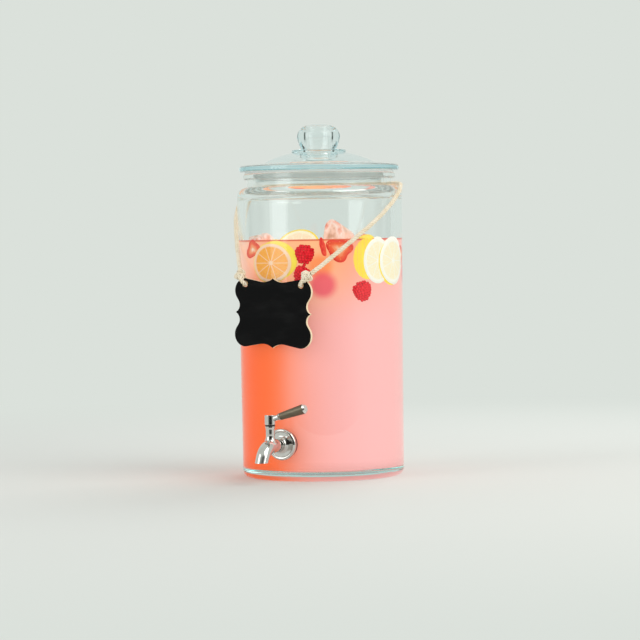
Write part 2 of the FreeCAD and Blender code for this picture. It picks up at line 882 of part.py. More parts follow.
def sign_corners():
    """The whole outline: the quarter and its mirror images, the odd ones run backwards."""
    quarter = sign_quarter()
    middle_y = -(s.knot_above + s.sign_height / 2)
    backward = [(x, y, quarter[max(i - 1, 0)][2]) for i, (x, y, _) in enumerate(quarter)][:0:-1]
    forward = quarter[:-1]
    corners = []
    for run, right, upper in ((forward, 1, 1), (backward, -1, 1), (forward, -1, -1), (backward, 1, -1)):
        for x, y, turn in run:
            across = x if x == 0 else right * x
            up = middle_y if y == 0 else middle_y + upper * y
            corners.append((across, up, turn))
    return corners


def sign_board():
    board = doc.addObject("PartDesign::Body", "sign_board")
    face = sketch_on(board, "sign_outline", "XY_Plane")
    outline(face, sign_corners())
    hole_y = -(s.knot_above + s.sign_hole_down)
    for side in (-1, 1):
        circle(face, side * s.sign_hole_across / 2, hole_y, s.sign_hole_dia / 2)
    extruded(board, "Pad", face, s.sign_thick / 2, False, s.sign_thick / 2)
    piece(hang_sign(board), "sign_board")


def knot_places():
    """The centres of the right and left knots in the jar's frame."""
    reach = sign_out.value
    turn = math.radians(s.sign_azimuth.value)
    level = (shoulder_z - s.sign_drop).value
    middle = FreeCAD.Vector(reach * math.sin(turn), -reach * math.cos(turn), level)
    half = s.knot_across.value / 2
    return [middle + SIGN_ROTATION.multVec(FreeCAD.Vector(side * half, 0, 0)) for side in (1, -1)]


def knot(label, side):
    """A tied lump over a loop that goes through the board's hole and round its edge."""
    twine_r = s.twine_dia.value / 2
    knot_r = s.knot_dia.value / 2
    centre = FreeCAD.Vector(side * s.knot_across.value / 2, 0, 0)
    hole = FreeCAD.Vector(
        side * s.sign_hole_across.value / 2, -(s.knot_above + s.sign_hole_down).value, 0
    )
    climb = (centre - hole).normalize()
    outer = FreeCAD.Vector(0, 0, s.sign_thick.value / 2 + twine_r + s.twine_gap.value)
    bend = outer.Length
    low = hole + climb * (bend - 2 * s.twine_gap.value)
    high = centre - climb * knot_r / 2
    front = Part.LineSegment(low + outer, high + outer).toShape()
    over = Part.Arc(high + outer, high + climb * bend, high - outer).toShape()
    back = Part.LineSegment(high - outer, low - outer).toShape()
    under = Part.Arc(low - outer, low - climb * bend, low + outer).toShape()
    path = Part.Wire([front, over, back, under])
    section = Part.Wire(Part.makeCircle(twine_r, low + outer, climb))
    loop = path.makePipeShell([section], True, False)
    wrap_r = knot_r * WRAP_SHARE
    lump = Part.makeSphere(knot_r * CORE_SHARE, centre)
    across = climb.cross(FreeCAD.Vector(0, 0, 1))
    for lean in (-35, 40):
        axis = FreeCAD.Rotation(across, lean).multVec(climb)
        lump = lump.fuse(Part.makeTorus(knot_r - wrap_r, wrap_r, centre, axis))
    tied = doc.addObject("Part::Feature", label)
    tied.Shape = lump.fuse(loop).removeSplitter()
    piece(hang_sign(tied), label)


def tube_along(points, radius):
    """A round tube on straight runs joined by tangent arcs as large as the runs allow, and its length."""
    edges = []
    radii = []
    start = points[0]
    for before, corner, after in zip(points, points[1:], points[2:]):
        come = (corner - before).normalize()
        go = (after - corner).normalize()
        turn = come.getAngle(go)
        reach = 0.45 * min((corner - before).Length, (after - corner).Length)
        radii.append(reach / math.tan(turn / 2))
        first = corner - come * reach
        last = corner + go * reach
        inward = (go - come).normalize()
        middle = corner + inward * (radii[-1] / math.cos(turn / 2) - radii[-1])
        edges.append(Part.LineSegment(start, first).toShape())
        edges.append(Part.Arc(first, middle, last).toShape())
        start = last
    edges.append(Part.LineSegment(start, points[-1]).toShape())
    path = Part.Wire(edges)
    section = Part.Wire(Part.makeCircle(radius, points[0], points[1] - points[0]))
    tube = path.makePipeShell([section], True, False)
    print("twine radii mm", [round(r, 1) for r in radii])
    return tube, path.Length


def hang_twine():
    right, left = knot_places()
    route = []
    for azimuth, out, up in TWINE_ROUTE:
        turn = math.radians(azimuth)
        radius = wall_top_r.value + out
        height = shoulder_z.value + up
        route.append(FreeCAD.Vector(radius * math.sin(turn), -radius * math.cos(turn), height))
    clear = s.knot_dia.value / 2 + 2 * s.twine_gap.value
    start = right + (route[0] - right).normalize() * clear
    end = left + (route[-1] - left).normalize() * clear
    radius = s.twine_dia.value / 2
    tube, length = tube_along([start] + route + [end], radius)
    share = tube.Volume / (math.pi * radius * radius * length)
    print("twine length mm %.1f, volume over section times length %.5f" % (length, share))
    twine = doc.addObject("Part::Feature", "hang_twine")
    twine.Shape = tube
    piece(twine, "hang_twine")


glass_jar()
lid_glass()
lid_gasket()
spigot_body()
seals()
clamp_washer()
lock_nut()
valve_plug()
stem_orings()
gland_ring()
friction_washer()
lever_hub()
lever_grip()
grub_screw()
sign_board()
knot("right_knot", 1)
knot("left_knot", -1)
hang_twine()
doc.recompute()

for item in doc.Objects:
    if "Invalid" in item.State or "Error" in item.State:
        raise RuntimeError("%s is %s" % (item.Name, item.State))
for item in pieces:
    if item.Shape.isNull() or not item.Shape.isValid() or len(item.Shape.Solids) != 1:
        raise RuntimeError("%s has no valid solid" % item.Label)

os.makedirs("parts", exist_ok=True)
for item in pieces:
    item.Shape.exportStep("parts/%s.step" % item.Label)
print(len(pieces), "parts written")
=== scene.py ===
import math
import random

import bmesh
import bpy
from mathutils import Matrix, Quaternion, Vector


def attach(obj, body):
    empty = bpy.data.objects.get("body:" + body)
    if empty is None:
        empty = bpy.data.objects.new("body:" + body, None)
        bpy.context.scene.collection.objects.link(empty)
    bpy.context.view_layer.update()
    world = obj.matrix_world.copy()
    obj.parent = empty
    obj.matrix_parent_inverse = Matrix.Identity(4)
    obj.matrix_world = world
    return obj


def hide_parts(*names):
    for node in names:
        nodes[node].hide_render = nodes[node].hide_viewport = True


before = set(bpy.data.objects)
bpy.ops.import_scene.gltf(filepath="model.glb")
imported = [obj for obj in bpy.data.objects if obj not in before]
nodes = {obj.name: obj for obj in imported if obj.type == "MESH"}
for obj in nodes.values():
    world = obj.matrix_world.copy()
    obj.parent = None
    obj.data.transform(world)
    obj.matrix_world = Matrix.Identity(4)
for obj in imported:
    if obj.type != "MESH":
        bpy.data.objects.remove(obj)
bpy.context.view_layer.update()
scene = bpy.context.scene
scene.view_settings.view_transform = "Standard"

# Camera: where the photograph was taken from, in metres and degrees.
CAMERA_AZIMUTH = 28.4
CAMERA_DISTANCE = 3.13
CAMERA_HEIGHT = 0.280
CAMERA_LENS = 151.0
CAMERA_ROLL = -0.9
AIM_HEIGHT = 0.181
AIM_LEFT = 0.0016

view_turn = math.radians(CAMERA_AZIMUTH)
TO_CAMERA = Vector((math.sin(view_turn), -math.cos(view_turn), 0))
TO_RIGHT = Vector((math.cos(view_turn), math.sin(view_turn), 0))
UP = Vector((0, 0, 1))


def add_camera():
    """The camera, turned to its aim and rolled a little."""
    data = bpy.data.cameras.new("camera")
    data.lens = CAMERA_LENS
    data.sensor_width = 36
    data.clip_end = 50
    camera = bpy.data.objects.new("camera", data)
    scene.collection.objects.link(camera)
    place = TO_CAMERA * CAMERA_DISTANCE + UP * CAMERA_HEIGHT
    aim = UP * AIM_HEIGHT - TO_RIGHT * AIM_LEFT
    turn = (aim - place).to_track_quat("-Z", "Y")
    roll = Quaternion((0, 0, 1), math.radians(CAMERA_ROLL))
    camera.matrix_world = Matrix.Translation(place) @ (turn @ roll).to_matrix().to_4x4()
    scene.camera = camera


add_camera()

# The jar's inside, its drink, the tag and the lever, repeated from the solids, in metres and degrees.
WALL_TOP_R = 0.096
SHOULDER_Z = 0.3365
FLOOR_Z = 0.011
FLOOR_ROUND = 0.012
INNER_BASE_R = 0.086
INNER_BASE_Z = 0.023
INNER_TOP_R = 0.088
INNER_TOP_Z = 0.3205
DRINK_LEVEL = 0.2742
DRINK_CURL = 0.0012  # how far it climbs the glass
SINK = 0.0003  # how far the drink reaches into the glass, so that no gap shows
SIGN_AZIMUTH = -4.6
SIGN_LEAN = 1.5
SIGN_OUT = 0.098
SIGN_Z = SHOULDER_Z - 0.1025
KNOT_HALF = 0.045
KNOT_R = 0.0051
TWINE_DIA = 0.0052
TWINE_GAP = 0.0003
HOLE_X = 0.038
HOLE_Y = -0.0093
BOARD_THICK = 0.0032
LEVER_TILT = 16.7

# The twine's route from the right knot to the left one: azimuth in degrees, millimetres outside the jar's
# top radius and millimetres above the shoulder.
TWINE_ROUTE = [
    (52.2, 4.2, -60.4),
    (72.2, 4.3, -36.1),
    (89.9, 4.6, -14.5),
    (104.4, 2.1, 0.8),
    (120.4, -5.8, 2.4),
    (139.4, -7.7, 2.9),
    (161.4, -7.7, 2.9),
    (183.4, -7.7, 2.9),
    (205.4, -7.7, 2.9),
    (227.4, -7.7, 2.9),
    (246.4, -5.8, 2.4),
    (261.9, 1.9, 0.9),
    (276.6, 4.7, -13.5),
    (296.6, 4.3, -43.2),
]


def around(azimuth, radius, height):
    """A point at an azimuth in degrees from the tap, a distance from the jar's axis and a height."""
    turn = math.radians(azimuth)
    return Vector((radius * math.sin(turn), -radius * math.cos(turn), height))


def inner_radius(z):
    """Radius of the jar's inner wall at a height."""
    if z < INNER_BASE_Z:
        drop = min(INNER_BASE_Z - z, FLOOR_ROUND)
        return INNER_BASE_R - FLOOR_ROUND + math.sqrt(FLOOR_ROUND**2 - drop**2)
    share = (z - INNER_BASE_Z) / (INNER_TOP_Z - INNER_BASE_Z)
    return INNER_BASE_R + (INNER_TOP_R - INNER_BASE_R) * share


def srgb(red, green, blue):
    """A colour from 0-255 values as the linear one that a shader takes."""
    linear = []
    for value in (red, green, blue):
        share = value / 255
        linear.append(share / 12.92 if share <= 0.04045 else ((share + 0.055) / 1.055) ** 2.4)
    return (*linear, 1.0)


class Graph:
    """The nodes of one new material or world, added and wired in short calls."""

    def __init__(self, name, world=False):
        self.owner = (bpy.data.worlds if world else bpy.data.materials).new(name)
        self.owner.use_nodes = True
        self.tree = self.owner.node_tree
        self.tree.nodes.clear()
        self.out = self.add("ShaderNodeOutputWorld" if world else "ShaderNodeOutputMaterial")

    def add(self, kind, **settings):
        node = self.tree.nodes.new(kind)
        for key, value in settings.items():
            setattr(node, key, value)
        return node

    def wire(self, source, target):
        self.tree.links.new(source, target)

    def put(self, socket, value):
        if isinstance(value, bpy.types.NodeSocket):
            self.wire(value, socket)
        else:
            socket.default_value = value

    def fill(self, node, **inputs):
        """Puts values or sockets into a node's inputs, by their names with _ for a space."""
        for key, value in inputs.items():
            self.put(node.inputs[key.replace("_", " ")], value)

    def math(self, operation, first, second=0.0):
        node = self.add("ShaderNodeMath", operation=operation)
        self.put(node.inputs[0], first)
        self.put(node.inputs[1], second)
        return node.outputs[0]

    def smooth(self, value, low, high, start=0.0, end=1.0):
        node = self.add("ShaderNodeMapRange", interpolation_type="SMOOTHSTEP")
        self.fill(node, Value=value, From_Min=low, From_Max=high, To_Min=start, To_Max=end)
        return node.outputs["Result"]

    def mix(self, share, first, second):
        node = self.add("ShaderNodeMix", data_type="RGBA")
        self.fill(node, Factor=share, A=first, B=second)
        return node.outputs["Result"]

    def ramp(self, value, stops, interpolation="LINEAR"):
        """Colours along a value. A stop is its place and the colour's 0-255 values."""
        node = self.add("ShaderNodeValToRGB")
        ramp = node.color_ramp
        ramp.interpolation = interpolation
        while len(ramp.elements) < len(stops):
            ramp.elements.new(0.5)
        for element, (place, *colour) in zip(ramp.elements, stops):
            element.position = place
            element.color = srgb(*colour)
        self.put(node.inputs["Fac"], value)
        return node.outputs["Color"]

    def coords(self, kind="Object", scale=(1, 1, 1), turn=(0, 0, 0)):
        source = self.add("ShaderNodeTexCoord")
        mapping = self.add("ShaderNodeMapping")
        self.fill(mapping, Vector=source.outputs[kind], Scale=scale, Rotation=turn)
        return mapping.outputs["Vector"]

    def noise(self, vector, scale, detail=3.0, roughness=0.5):
        node = self.add("ShaderNodeTexNoise")
        self.fill(node, Vector=vector, Scale=scale, Detail=detail, Roughness=roughness)
        return node.outputs["Fac"]

    def bump(self, height, strength, distance):
        node = self.add("ShaderNodeBump")
        self.fill(node, Strength=strength, Distance=distance, Height=height)
        return node.outputs["Normal"]

    def texture(self, kind):
        """A texture coordinate as it is."""
        return self.add("ShaderNodeTexCoord").outputs[kind]

    def split(self, vector):
        node = self.add("ShaderNodeSeparateXYZ")
        self.wire(vector, node.inputs[0])
        return node.outputs

    def vector(self, operation, first, second=(0, 0, 0), output="Value"):
        node = self.add("ShaderNodeVectorMath", operation=operation)
        self.wire(first, node.inputs[0])
        node.inputs[1].default_value = second
        return node.outputs[output]

    def glow(self, kind, colour, strength):
        node = self.add(kind)
        self.fill(node, Color=colour, Strength=strength)
        return node.outputs[0]

    def blend(self, share, first, second):
        """Two shaders in one."""
        node = self.add("ShaderNodeMixShader")
        self.wire(share, node.inputs[0])
        self.wire(first, node.inputs[1])
        self.wire(second, node.inputs[2])
        return node.outputs[0]

    def principled(self, **inputs):
        node = self.add("ShaderNodeBsdfPrincipled")
        self.fill(node, **inputs)
        return node.outputs[0]

    def finish(self, shader):
        self.wire(shader, self.out.inputs["Surface"])
        return self.owner

    def surface(self, **inputs):
        """The finished material, from one principled shader."""
        return self.finish(self.principled(**inputs))

    def lit(self, colour, glow, **inputs):
        """The finished material of something wet, with a little painted glow of its own colour for the
        light that shines into it.
        """
        return self.surface(Base_Color=colour, Emission_Color=colour, Emission_Strength=glow, **inputs)


def dress(material, *names):
    """Gives CAD nodes a material of their own."""
    for name in names:
        mesh = nodes[name].data
        mesh.materials.clear()
        mesh.materials.append(material)


def show(mesh, material, body):
    """Puts a mesh into the scene, smooth and in its material. Where a body is named, it rides that."""
    for polygon in mesh.polygons:
        polygon.use_smooth = True
    mesh.materials.append(material)
    made = bpy.data.objects.new(mesh.name, mesh)
    scene.collection.objects.link(made)
    if body:
        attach(made, body)
    return made


def new_mesh(name, vertices, faces, material, body=None, uvs=None):
    """A mesh object from plain lists. uvs are one pair for each vertex."""
    mesh = bpy.data.meshes.new(name)
    mesh.from_pydata([tuple(v) for v in vertices], [], faces)
    mesh.update()
    if uvs is not None:
        layer = mesh.uv_layers.new(name="UVMap")
        for loop in mesh.loops:
            layer.data[loop.index].uv = uvs[loop.vertex_index]
    return show(mesh, material, body)


def band(here, there, sides):
    """The quads between two rings of points, which start at two places in a list."""
    made = []
    for k in range(sides):
        after = (k + 1) % sides
        made.append((here + k, here + after, there + after, there + k))
    return made


def disc_faces(sides, rings):
    """The faces of a disc: a fan round the first point, then quads from ring to ring."""
    made = [(0, 1 + k, 1 + (k + 1) % sides) for k in range(sides)]
    for i in range(rings - 1):
        here = 1 + i * sides
        for k in range(sides):
            after = (k + 1) % sides
            made.append((here + k, here + sides + k, here + sides + after, here + after))
    return made


def ball_faces(sides, rings):
    """The faces of a closed form: those of a disc, and a fan round the last point."""
    last = 1 + (rings - 1) * sides
    tip = last + sides
    return disc_faces(sides, rings) + [(tip, last + (k + 1) % sides, last + k) for k in range(sides)]


def random_vector(chance, reach):
    """A vector whose three parts are drawn one after another."""
    return Vector([chance.uniform(-reach, reach) for _ in range(3)])


def turned(x, y, degrees):
    """A flat point turned about the origin."""
    turn = math.radians(degrees)
    return (
        x * math.cos(turn) - y * math.sin(turn),
        x * math.sin(turn) + y * math.cos(turn),
    )


def jute_material():
    """Pale fibres, with shade painted darker in the grooves. UV x holds how far from the rope's middle a
    point lies.
    """
    g = Graph("jute")
    fine = g.noise(g.coords(scale=(1, 1, 0.35)), 1500, 4.0, 0.7)
    broad = g.noise(g.coords(), 160, 2.0)
    tone = g.math("ADD", g.math("MULTIPLY", fine, 0.65), g.math("MULTIPLY", broad, 0.45))
    colour = g.ramp(
        tone,
        [
            (0.26, 184, 150, 106),
            (0.42, 236, 216, 180),
            (0.58, 251, 239, 214),
            (0.8, 255, 249, 236),
        ],
    )
    # Painted shade: the colour darkens where a strand lies near the rope's middle, in the grooves between
    # strands.
    depth = g.split(g.texture("UV"))["X"]
    colour = g.mix(g.smooth(depth, 0.55, 0.9), srgb(128, 94, 56), colour)
    return g.surface(
        Base_Color=colour, Roughness=0.85, Normal=g.bump(fine, 0.7, 0.0005), Sheen_Weight=0.3
    )


jute = jute_material()


def frames_along(points, closed=False):
    """Points with two directions across the line at each, carried along without twist."""
    count = len(points)
    tangents = []
    for i in range(count):
        before = points[i - 1] if (closed or i > 0) else points[0]
        after = points[(i + 1) % count] if (closed or i < count - 1) else points[-1]
        tangents.append((after - before).normalized())
    side = tangents[0].orthogonal().normalized()
    made = []
    for point, tangent in zip(points, tangents):
        side = (side - tangent * side.dot(tangent)).normalized()
        made.append((point, side, tangent.cross(side)))
    return made


def tube(line, radius, sides, closed=False, taper=None):
    """Vertices and faces of a round tube on a line. taper gives a share of the radius at each point."""
    vertices = []
    rings = frames_along(line, closed)
    for i, (point, side, other) in enumerate(rings):
        size = radius * (taper[i] if taper else 1.0)
        for k in range(sides):
            turn = 2 * math.pi * k / sides
            vertices.append(point + (side * math.cos(turn) + other * math.sin(turn)) * size)
    faces = []
    count = len(rings)
    for i in range(count if closed else count - 1):
        faces += band(i * sides, (i + 1) % count * sides, sides)
    if not closed:
        faces.append(tuple(reversed(range(sides))))
        faces.append(tuple(range((count - 1) * sides, count * sides)))
    return vertices, faces


class Heap:
    """Several tubes or lumps gathered into one mesh."""

    def __init__(self):
        self.vertices = []
        self.faces = []
        self.uvs = []

    def add(self, vertices, faces, uvs):
        start = len(self.vertices)
        self.vertices += vertices
        self.faces += [tuple(start + i for i in face) for face in faces]
        self.uvs += uvs


def resample(points, step, closed=False):
    """Points an even step apart along a dense line."""
    line = points + points[:1] if closed else points
    lengths = [0.0]
    for a, b in zip(line, line[1:]):
        lengths.append(lengths[-1] + (b - a).length)
    count = max(4, round(lengths[-1] / step))
    made = []
    k = 0
    for i in range(count if closed else count + 1):
        target = lengths[-1] * i / count
        while k < len(line) - 2 and lengths[k + 1] < target:
            k += 1
        span = max(lengths[k + 1] - lengths[k], 1e-9)
        made.append(line[k].lerp(line[k + 1], (target - lengths[k]) / span))
    return made


# The twine's make, in metres.
STRANDS = 3
STRAND_SHARE = 0.5
STRAND_SIDES = 7
LAY_PITCH = 0.0105
ROPE_R = 0.0027
ROPE_STEP = 0.0011
HAIR_R = 0.00007
HAIR_TAPER = (1, 0.9, 0.7, 0.35)
HAIR_STEP = 0.002
TWINE_HAIRS = 620
TWINE_HAIR_REACH = 0.0052
KNOT_HAIRS = 40
KNOT_HAIR_REACH = 0.0045
LOOP_STEPS = 12
BEND_STEPS = 16
OVERHAND_STEPS = 72
OVERHAND_SIZE = 0.0054
OVERHAND_DEPTH = 0.0026
OVERHAND_PITCH = 0.009
WRAP_STEPS = 40
WRAP_R = 0.0044
WRAP_PITCH = 0.008


def rope(heap, points, radius, closed=False, pitch=LAY_PITCH, phase=0.0):
    """Adds a laid rope on a line: strands that wind round it, each a little uneven."""
    line = resample(points, ROPE_STEP, closed)
    length = sum((b - a).length for a, b in zip(line, line[1:]))
    turns = max(1, round(length / pitch))
    strand_r = radius * STRAND_SHARE
    wind_r = radius - strand_r
    rings = frames_along(line, closed)
    count = len(rings)
    for strand in range(STRANDS):
        wound = []
        for i, (point, side, other) in enumerate(rings):
            turn = phase + 2 * math.pi * (turns * i / count + strand / STRANDS)
            wobble = 1 + 0.08 * math.sin(i * 0.37 + strand * 2.1)
            across = side * math.cos(turn) + other * math.sin(turn)
            wound.append(point + across * wind_r * wobble)
        vertices, faces = tube(wound, strand_r, STRAND_SIDES, closed)
        # UV x: how far a point lies from the rope's middle, which the jute material paints darker as
        # groove shade.
        uvs = []
        for i, v in enumerate(vertices):
            out = (v - rings[i // STRAND_SIDES][0]).length
            uvs.append((out / radius, 0.5))
        heap.add(vertices, faces, uvs)


def sign_place(x, y, z):
    """A point of the tag's own frame, whose origin is midway between the knots, in the row's frame."""
    lean = math.radians(SIGN_LEAN)
    turn = math.radians(SIGN_AZIMUTH)
    across = Vector((math.cos(turn), math.sin(turn), 0))
    out = Vector((math.sin(turn), -math.cos(turn), 0))
    right = across * math.cos(lean) - UP * math.sin(lean)
    up = UP * math.cos(lean) + across * math.sin(lean)
    return out * SIGN_OUT + UP * SIGN_Z + right * x + up * y + out * z


def twine_line():
    """The smooth line that the twine follows, from the right knot to the left one."""
    right = sign_place(KNOT_HALF, 0, 0)
    left = sign_place(-KNOT_HALF, 0, 0)
    route = [around(a, WALL_TOP_R + out / 1000, SHOULDER_Z + up / 1000) for a, out, up in TWINE_ROUTE]
    clear = KNOT_R + 2 * TWINE_GAP
    start = right + (route[0] - right).normalized() * clear
    end = left + (route[-1] - left).normalized() * clear
    points = [start] + route + [end]
    curve = bpy.data.curves.new("twine_route", "CURVE")
    curve.dimensions = "3D"
    curve.resolution_u = 24
    spline = curve.splines.new("NURBS")
    spline.points.add(len(points) - 1)
    for control, point in zip(spline.points, points):
        control.co = (*point, 1)
    spline.order_u = 3
    spline.use_endpoint_u = True
    carrier = bpy.data.objects.new("twine_route", curve)
    scene.collection.objects.link(carrier)
    bpy.context.view_layer.update()
    mesh = bpy.data.meshes.new_from_object(carrier)
    line = [v.co.copy() for v in mesh.vertices]
    bpy.data.meshes.remove(mesh)
    bpy.data.objects.remove(carrier)
    bpy.data.curves.remove(curve)
    return line


def whiskers(heap, line, count, reach, chance, radius):
    """Loose fibres that stand off a rope, each a thin bent hair."""
    rings = frames_along(line)
    for _ in range(count):
        i = chance.randrange(2, len(rings) - 2)
        point, side, other = rings[i]
        along = (rings[i + 1][0] - point).normalized() * chance.choice((-1, 1))
        turn = chance.uniform(0, 2 * math.pi)
        out = side * math.cos(turn) + other * math.sin(turn)
        length = reach * chance.uniform(0.35, 1.0)
        sweep = along * chance.uniform(0.4, 1.3)
        curl = random_vector(chance, 0.5)
        hair = []
        for k in range(len(HAIR_TAPER)):
            t = k / (len(HAIR_TAPER) - 1)
            bend = out * t + sweep * t + curl * t * t
            hair.append(point + out * radius * 0.9 + bend * length * 0.6)
        vertices, faces = tube(hair, HAIR_R, 3, taper=HAIR_TAPER)
        heap.add(vertices, faces, [(1.0, 0.5)] * len(vertices))


def hang_twine():
    """The twine between the knots and the fibres that stand off it."""
    line = twine_line()
    heap = Heap()
    rope(heap, line, ROPE_R)
    twine = new_mesh("twine_rope", heap.vertices, heap.faces, jute, "hang_loop", uvs=heap.uvs)
    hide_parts("hang_twine")
    hairs = Heap()
    spots = resample(line, HAIR_STEP)
    whiskers(hairs, spots, TWINE_HAIRS, TWINE_HAIR_REACH, random.Random(7), TWINE_DIA / 2)
    fuzz = new_mesh("twine_fuzz", hairs.vertices, hairs.faces, jute, "hang_loop", uvs=hairs.uvs)


def overhand(centre, right, up, out, size, depth):
    """The closed line of a pulled overhand knot."""
    line = []
    for i in range(OVERHAND_STEPS):
        t = 2 * math.pi * i / OVERHAND_STEPS
        x = (math.sin(t) + 2 * math.sin(2 * t)) / 3
        y = (math.cos(t) - 2 * math.cos(2 * t)) / 3
        z = -math.sin(3 * t)
        line.append(centre + right * x * size + up * y * size + out * z * depth)
    return line


def tied_knot(name, node, side, chance):
    """The loop through the tag's hole, the pulled knot over it, two wraps round that and loose fibres."""
    out = (sign_place(0, 0, 1) - sign_place(0, 0, 0)).normalized()
    centre = sign_place(side * KNOT_HALF, 0, 0)
    hole = sign_place(side * HOLE_X, HOLE_Y, 0)
    climb = (centre - hole).normalized()
    radius = TWINE_DIA / 2
    bend = BOARD_THICK / 2 + radius + TWINE_GAP
    low = hole + climb * (bend - 2 * TWINE_GAP)
    high = centre - climb * KNOT_R / 2
    loop = []
    for start, end, way in ((low, high, 1), (high, low, -1)):
        for i in range(LOOP_STEPS + 1):
            loop.append((start + out * bend * way).lerp(end + out * bend * way, i / LOOP_STEPS))
        for i in range(1, BEND_STEPS):
            turn = math.pi * i / BEND_STEPS
            loop.append(end + out * bend * way * math.cos(turn) + climb * bend * way * math.sin(turn))
    heap = Heap()
    rope(heap, loop, radius * 0.97, closed=True)
    across = climb.cross(out)
    lift = centre + climb * 0.0006 + out * 0.0012
    pulled = overhand(lift, across, climb, out, OVERHAND_SIZE, OVERHAND_DEPTH)
    rope(heap, pulled, radius * 0.9, closed=True, pitch=OVERHAND_PITCH)
    for lean in (-1, 1):
        axis = (climb * 0.8 + across * 0.55 * lean).normalized()
        first = axis.orthogonal().normalized()
        second = axis.cross(first)
        turns = [2 * math.pi * i / WRAP_STEPS for i in range(WRAP_STEPS)]
        wrap = [lift + (first * math.cos(t) + second * math.sin(t)) * WRAP_R for t in turns]
        rope(heap, wrap, radius * 0.78, closed=True, pitch=WRAP_PITCH, phase=lean)
    whiskers(heap, resample(loop, HAIR_STEP), KNOT_HAIRS, KNOT_HAIR_REACH, chance, radius)
    tied = new_mesh(name, heap.vertices, heap.faces, jute, "sign", uvs=heap.uvs)
    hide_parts(node)


hang_twine()
tied_knot("right_knot_twine", "right_knot", 1, random.Random(11))
tied_knot("left_knot_twine", "left_knot", -1, random.Random(12))


def glass_material(name, tint, density, wave, caught):
    """Clear glass. Lamp light passes straight through it, and so does light caught in it too often."""
    g = Graph(name)
    swell = g.noise(g.coords(scale=(1, 1, 0.4)), 9, 2.0)
    clear = g.principled(
        Base_Color=(0.985, 0.995, 0.99, 1),
        Roughness=0.0,
        IOR=1.5,
        Transmission_Weight=1.0,
        Normal=g.bump(swell, wave, 0.002),
    )
    through = g.add("ShaderNodeBsdfTransparent").outputs[0]
    path = g.add("ShaderNodeLightPath").outputs
    soft = g.math("MAXIMUM", path["Is Shadow Ray"], path["Is Diffuse Ray"])
    deep = g.math("GREATER_THAN", path["Glossy Depth"], caught)
    absorb = g.add("ShaderNodeVolumeAbsorption")
    g.fill(absorb, Color=tint, Density=density)
    g.wire(absorb.outputs[0], g.out.inputs["Volume"])
    return g.finish(g.blend(g.math("MAXIMUM", soft, deep), clear, through))


dress(glass_material("jar_glass", (0.45, 0.84, 0.84, 1), 5.0, 0.05, 3.5), "glass_jar")
dress(glass_material("lid_glass", (0.36, 0.76, 0.84, 1), 10.0, 0.06, 2.5), "lid_glass")


def seal_material():
    """Cloudy clear silicone."""
    g = Graph("clear_seal")
    cloud = g.noise(g.coords(), 60, 3.0)
    colour = g.mix(cloud, srgb(226, 233, 230), srgb(244, 246, 243))
    return g.surface(Base_Color=colour, Roughness=0.35, IOR=1.42, Transmission_Weight=0.45)


dress(seal_material(), "lid_gasket")


def steel_material(name, low, high, rough, grain):
    """Bare metal whose grain varies its tone and gloss."""
    g = Graph(name)
    lines = g.noise(g.coords(), grain, 5.0, 0.6)
    spots = g.noise(g.coords(), 90, 3.0)
    colour = g.mix(lines, low, high)
    gloss = g.smooth(spots, 0.2, 0.8, rough * 0.7, rough * 1.4)
    return g.surface(
        Base_Color=colour, Metallic=1.0, Roughness=gloss, Normal=g.bump(lines, 0.06, 0.0003)
    )


def grip_material():
    """The grip's dark brushed side, between a shoulder and a bevelled end that are painted bright as
    highlights.
    """
    g = Graph("grip_steel")
    tilt = math.radians(LEVER_TILT)
    brush = g.noise(g.coords(scale=(0.04, 1, 1), turn=(0, tilt, 0)), 900, 5.0, 0.6)
    side = g.mix(brush, srgb(96, 86, 72), srgb(134, 124, 108))
    # Painted highlight: faces that turn along the lever, at the shoulder and the bevelled end, are painted
    # near white and made glossier.
    slope = g.vector("DOT_PRODUCT", g.texture("Normal"), (math.cos(tilt), 0, math.sin(tilt)))
    end = g.smooth(g.math("ABSOLUTE", slope), 0.2, 0.4)
    colour = g.mix(end, side, srgb(226, 224, 220))
    return g.surface(
        Base_Color=colour,
        Metallic=1.0,
        Roughness=g.smooth(end, 0.0, 1.0, 0.38, 0.16),
        Normal=g.bump(brush, 0.08, 0.0003),
    )


polished = steel_material("polished_steel", srgb(196, 194, 190), srgb(226, 225, 222), 0.09, 140)
dress(polished, "spigot_body", "lever_hub")
dress(grip_material(), "lever_grip")
plain = steel_material("plain_steel", srgb(150, 150, 150), srgb(188, 188, 186), 0.28, 500)
dress(plain, "clamp_washer", "lock_nut", "grub_screw")
brass = steel_material("plug_brass", srgb(186, 144, 74), srgb(214, 176, 104), 0.25, 500)
dress(brass, "valve_plug", "gland_ring")


def rubber_material(name, dark, light):
    """Dull speckled rubber or plastic."""
    g = Graph(name)
    speck = g.noise(g.coords(), 900, 4.0, 0.7)
    colour = g.mix(speck, dark, light)
    return g.surface(Base_Color=colour, Roughness=0.6, Normal=g.bump(speck, 0.2, 0.0003))


rubber = rubber_material("seal_rubber", srgb(30, 30, 31), srgb(48, 48, 49))
dress(rubber, "outer_seal", "inner_seal", "lower_stem_oring", "upper_stem_oring")
dress(rubber_material("washer_plastic", srgb(24, 24, 25), srgb(40, 40, 41)), "friction_washer")


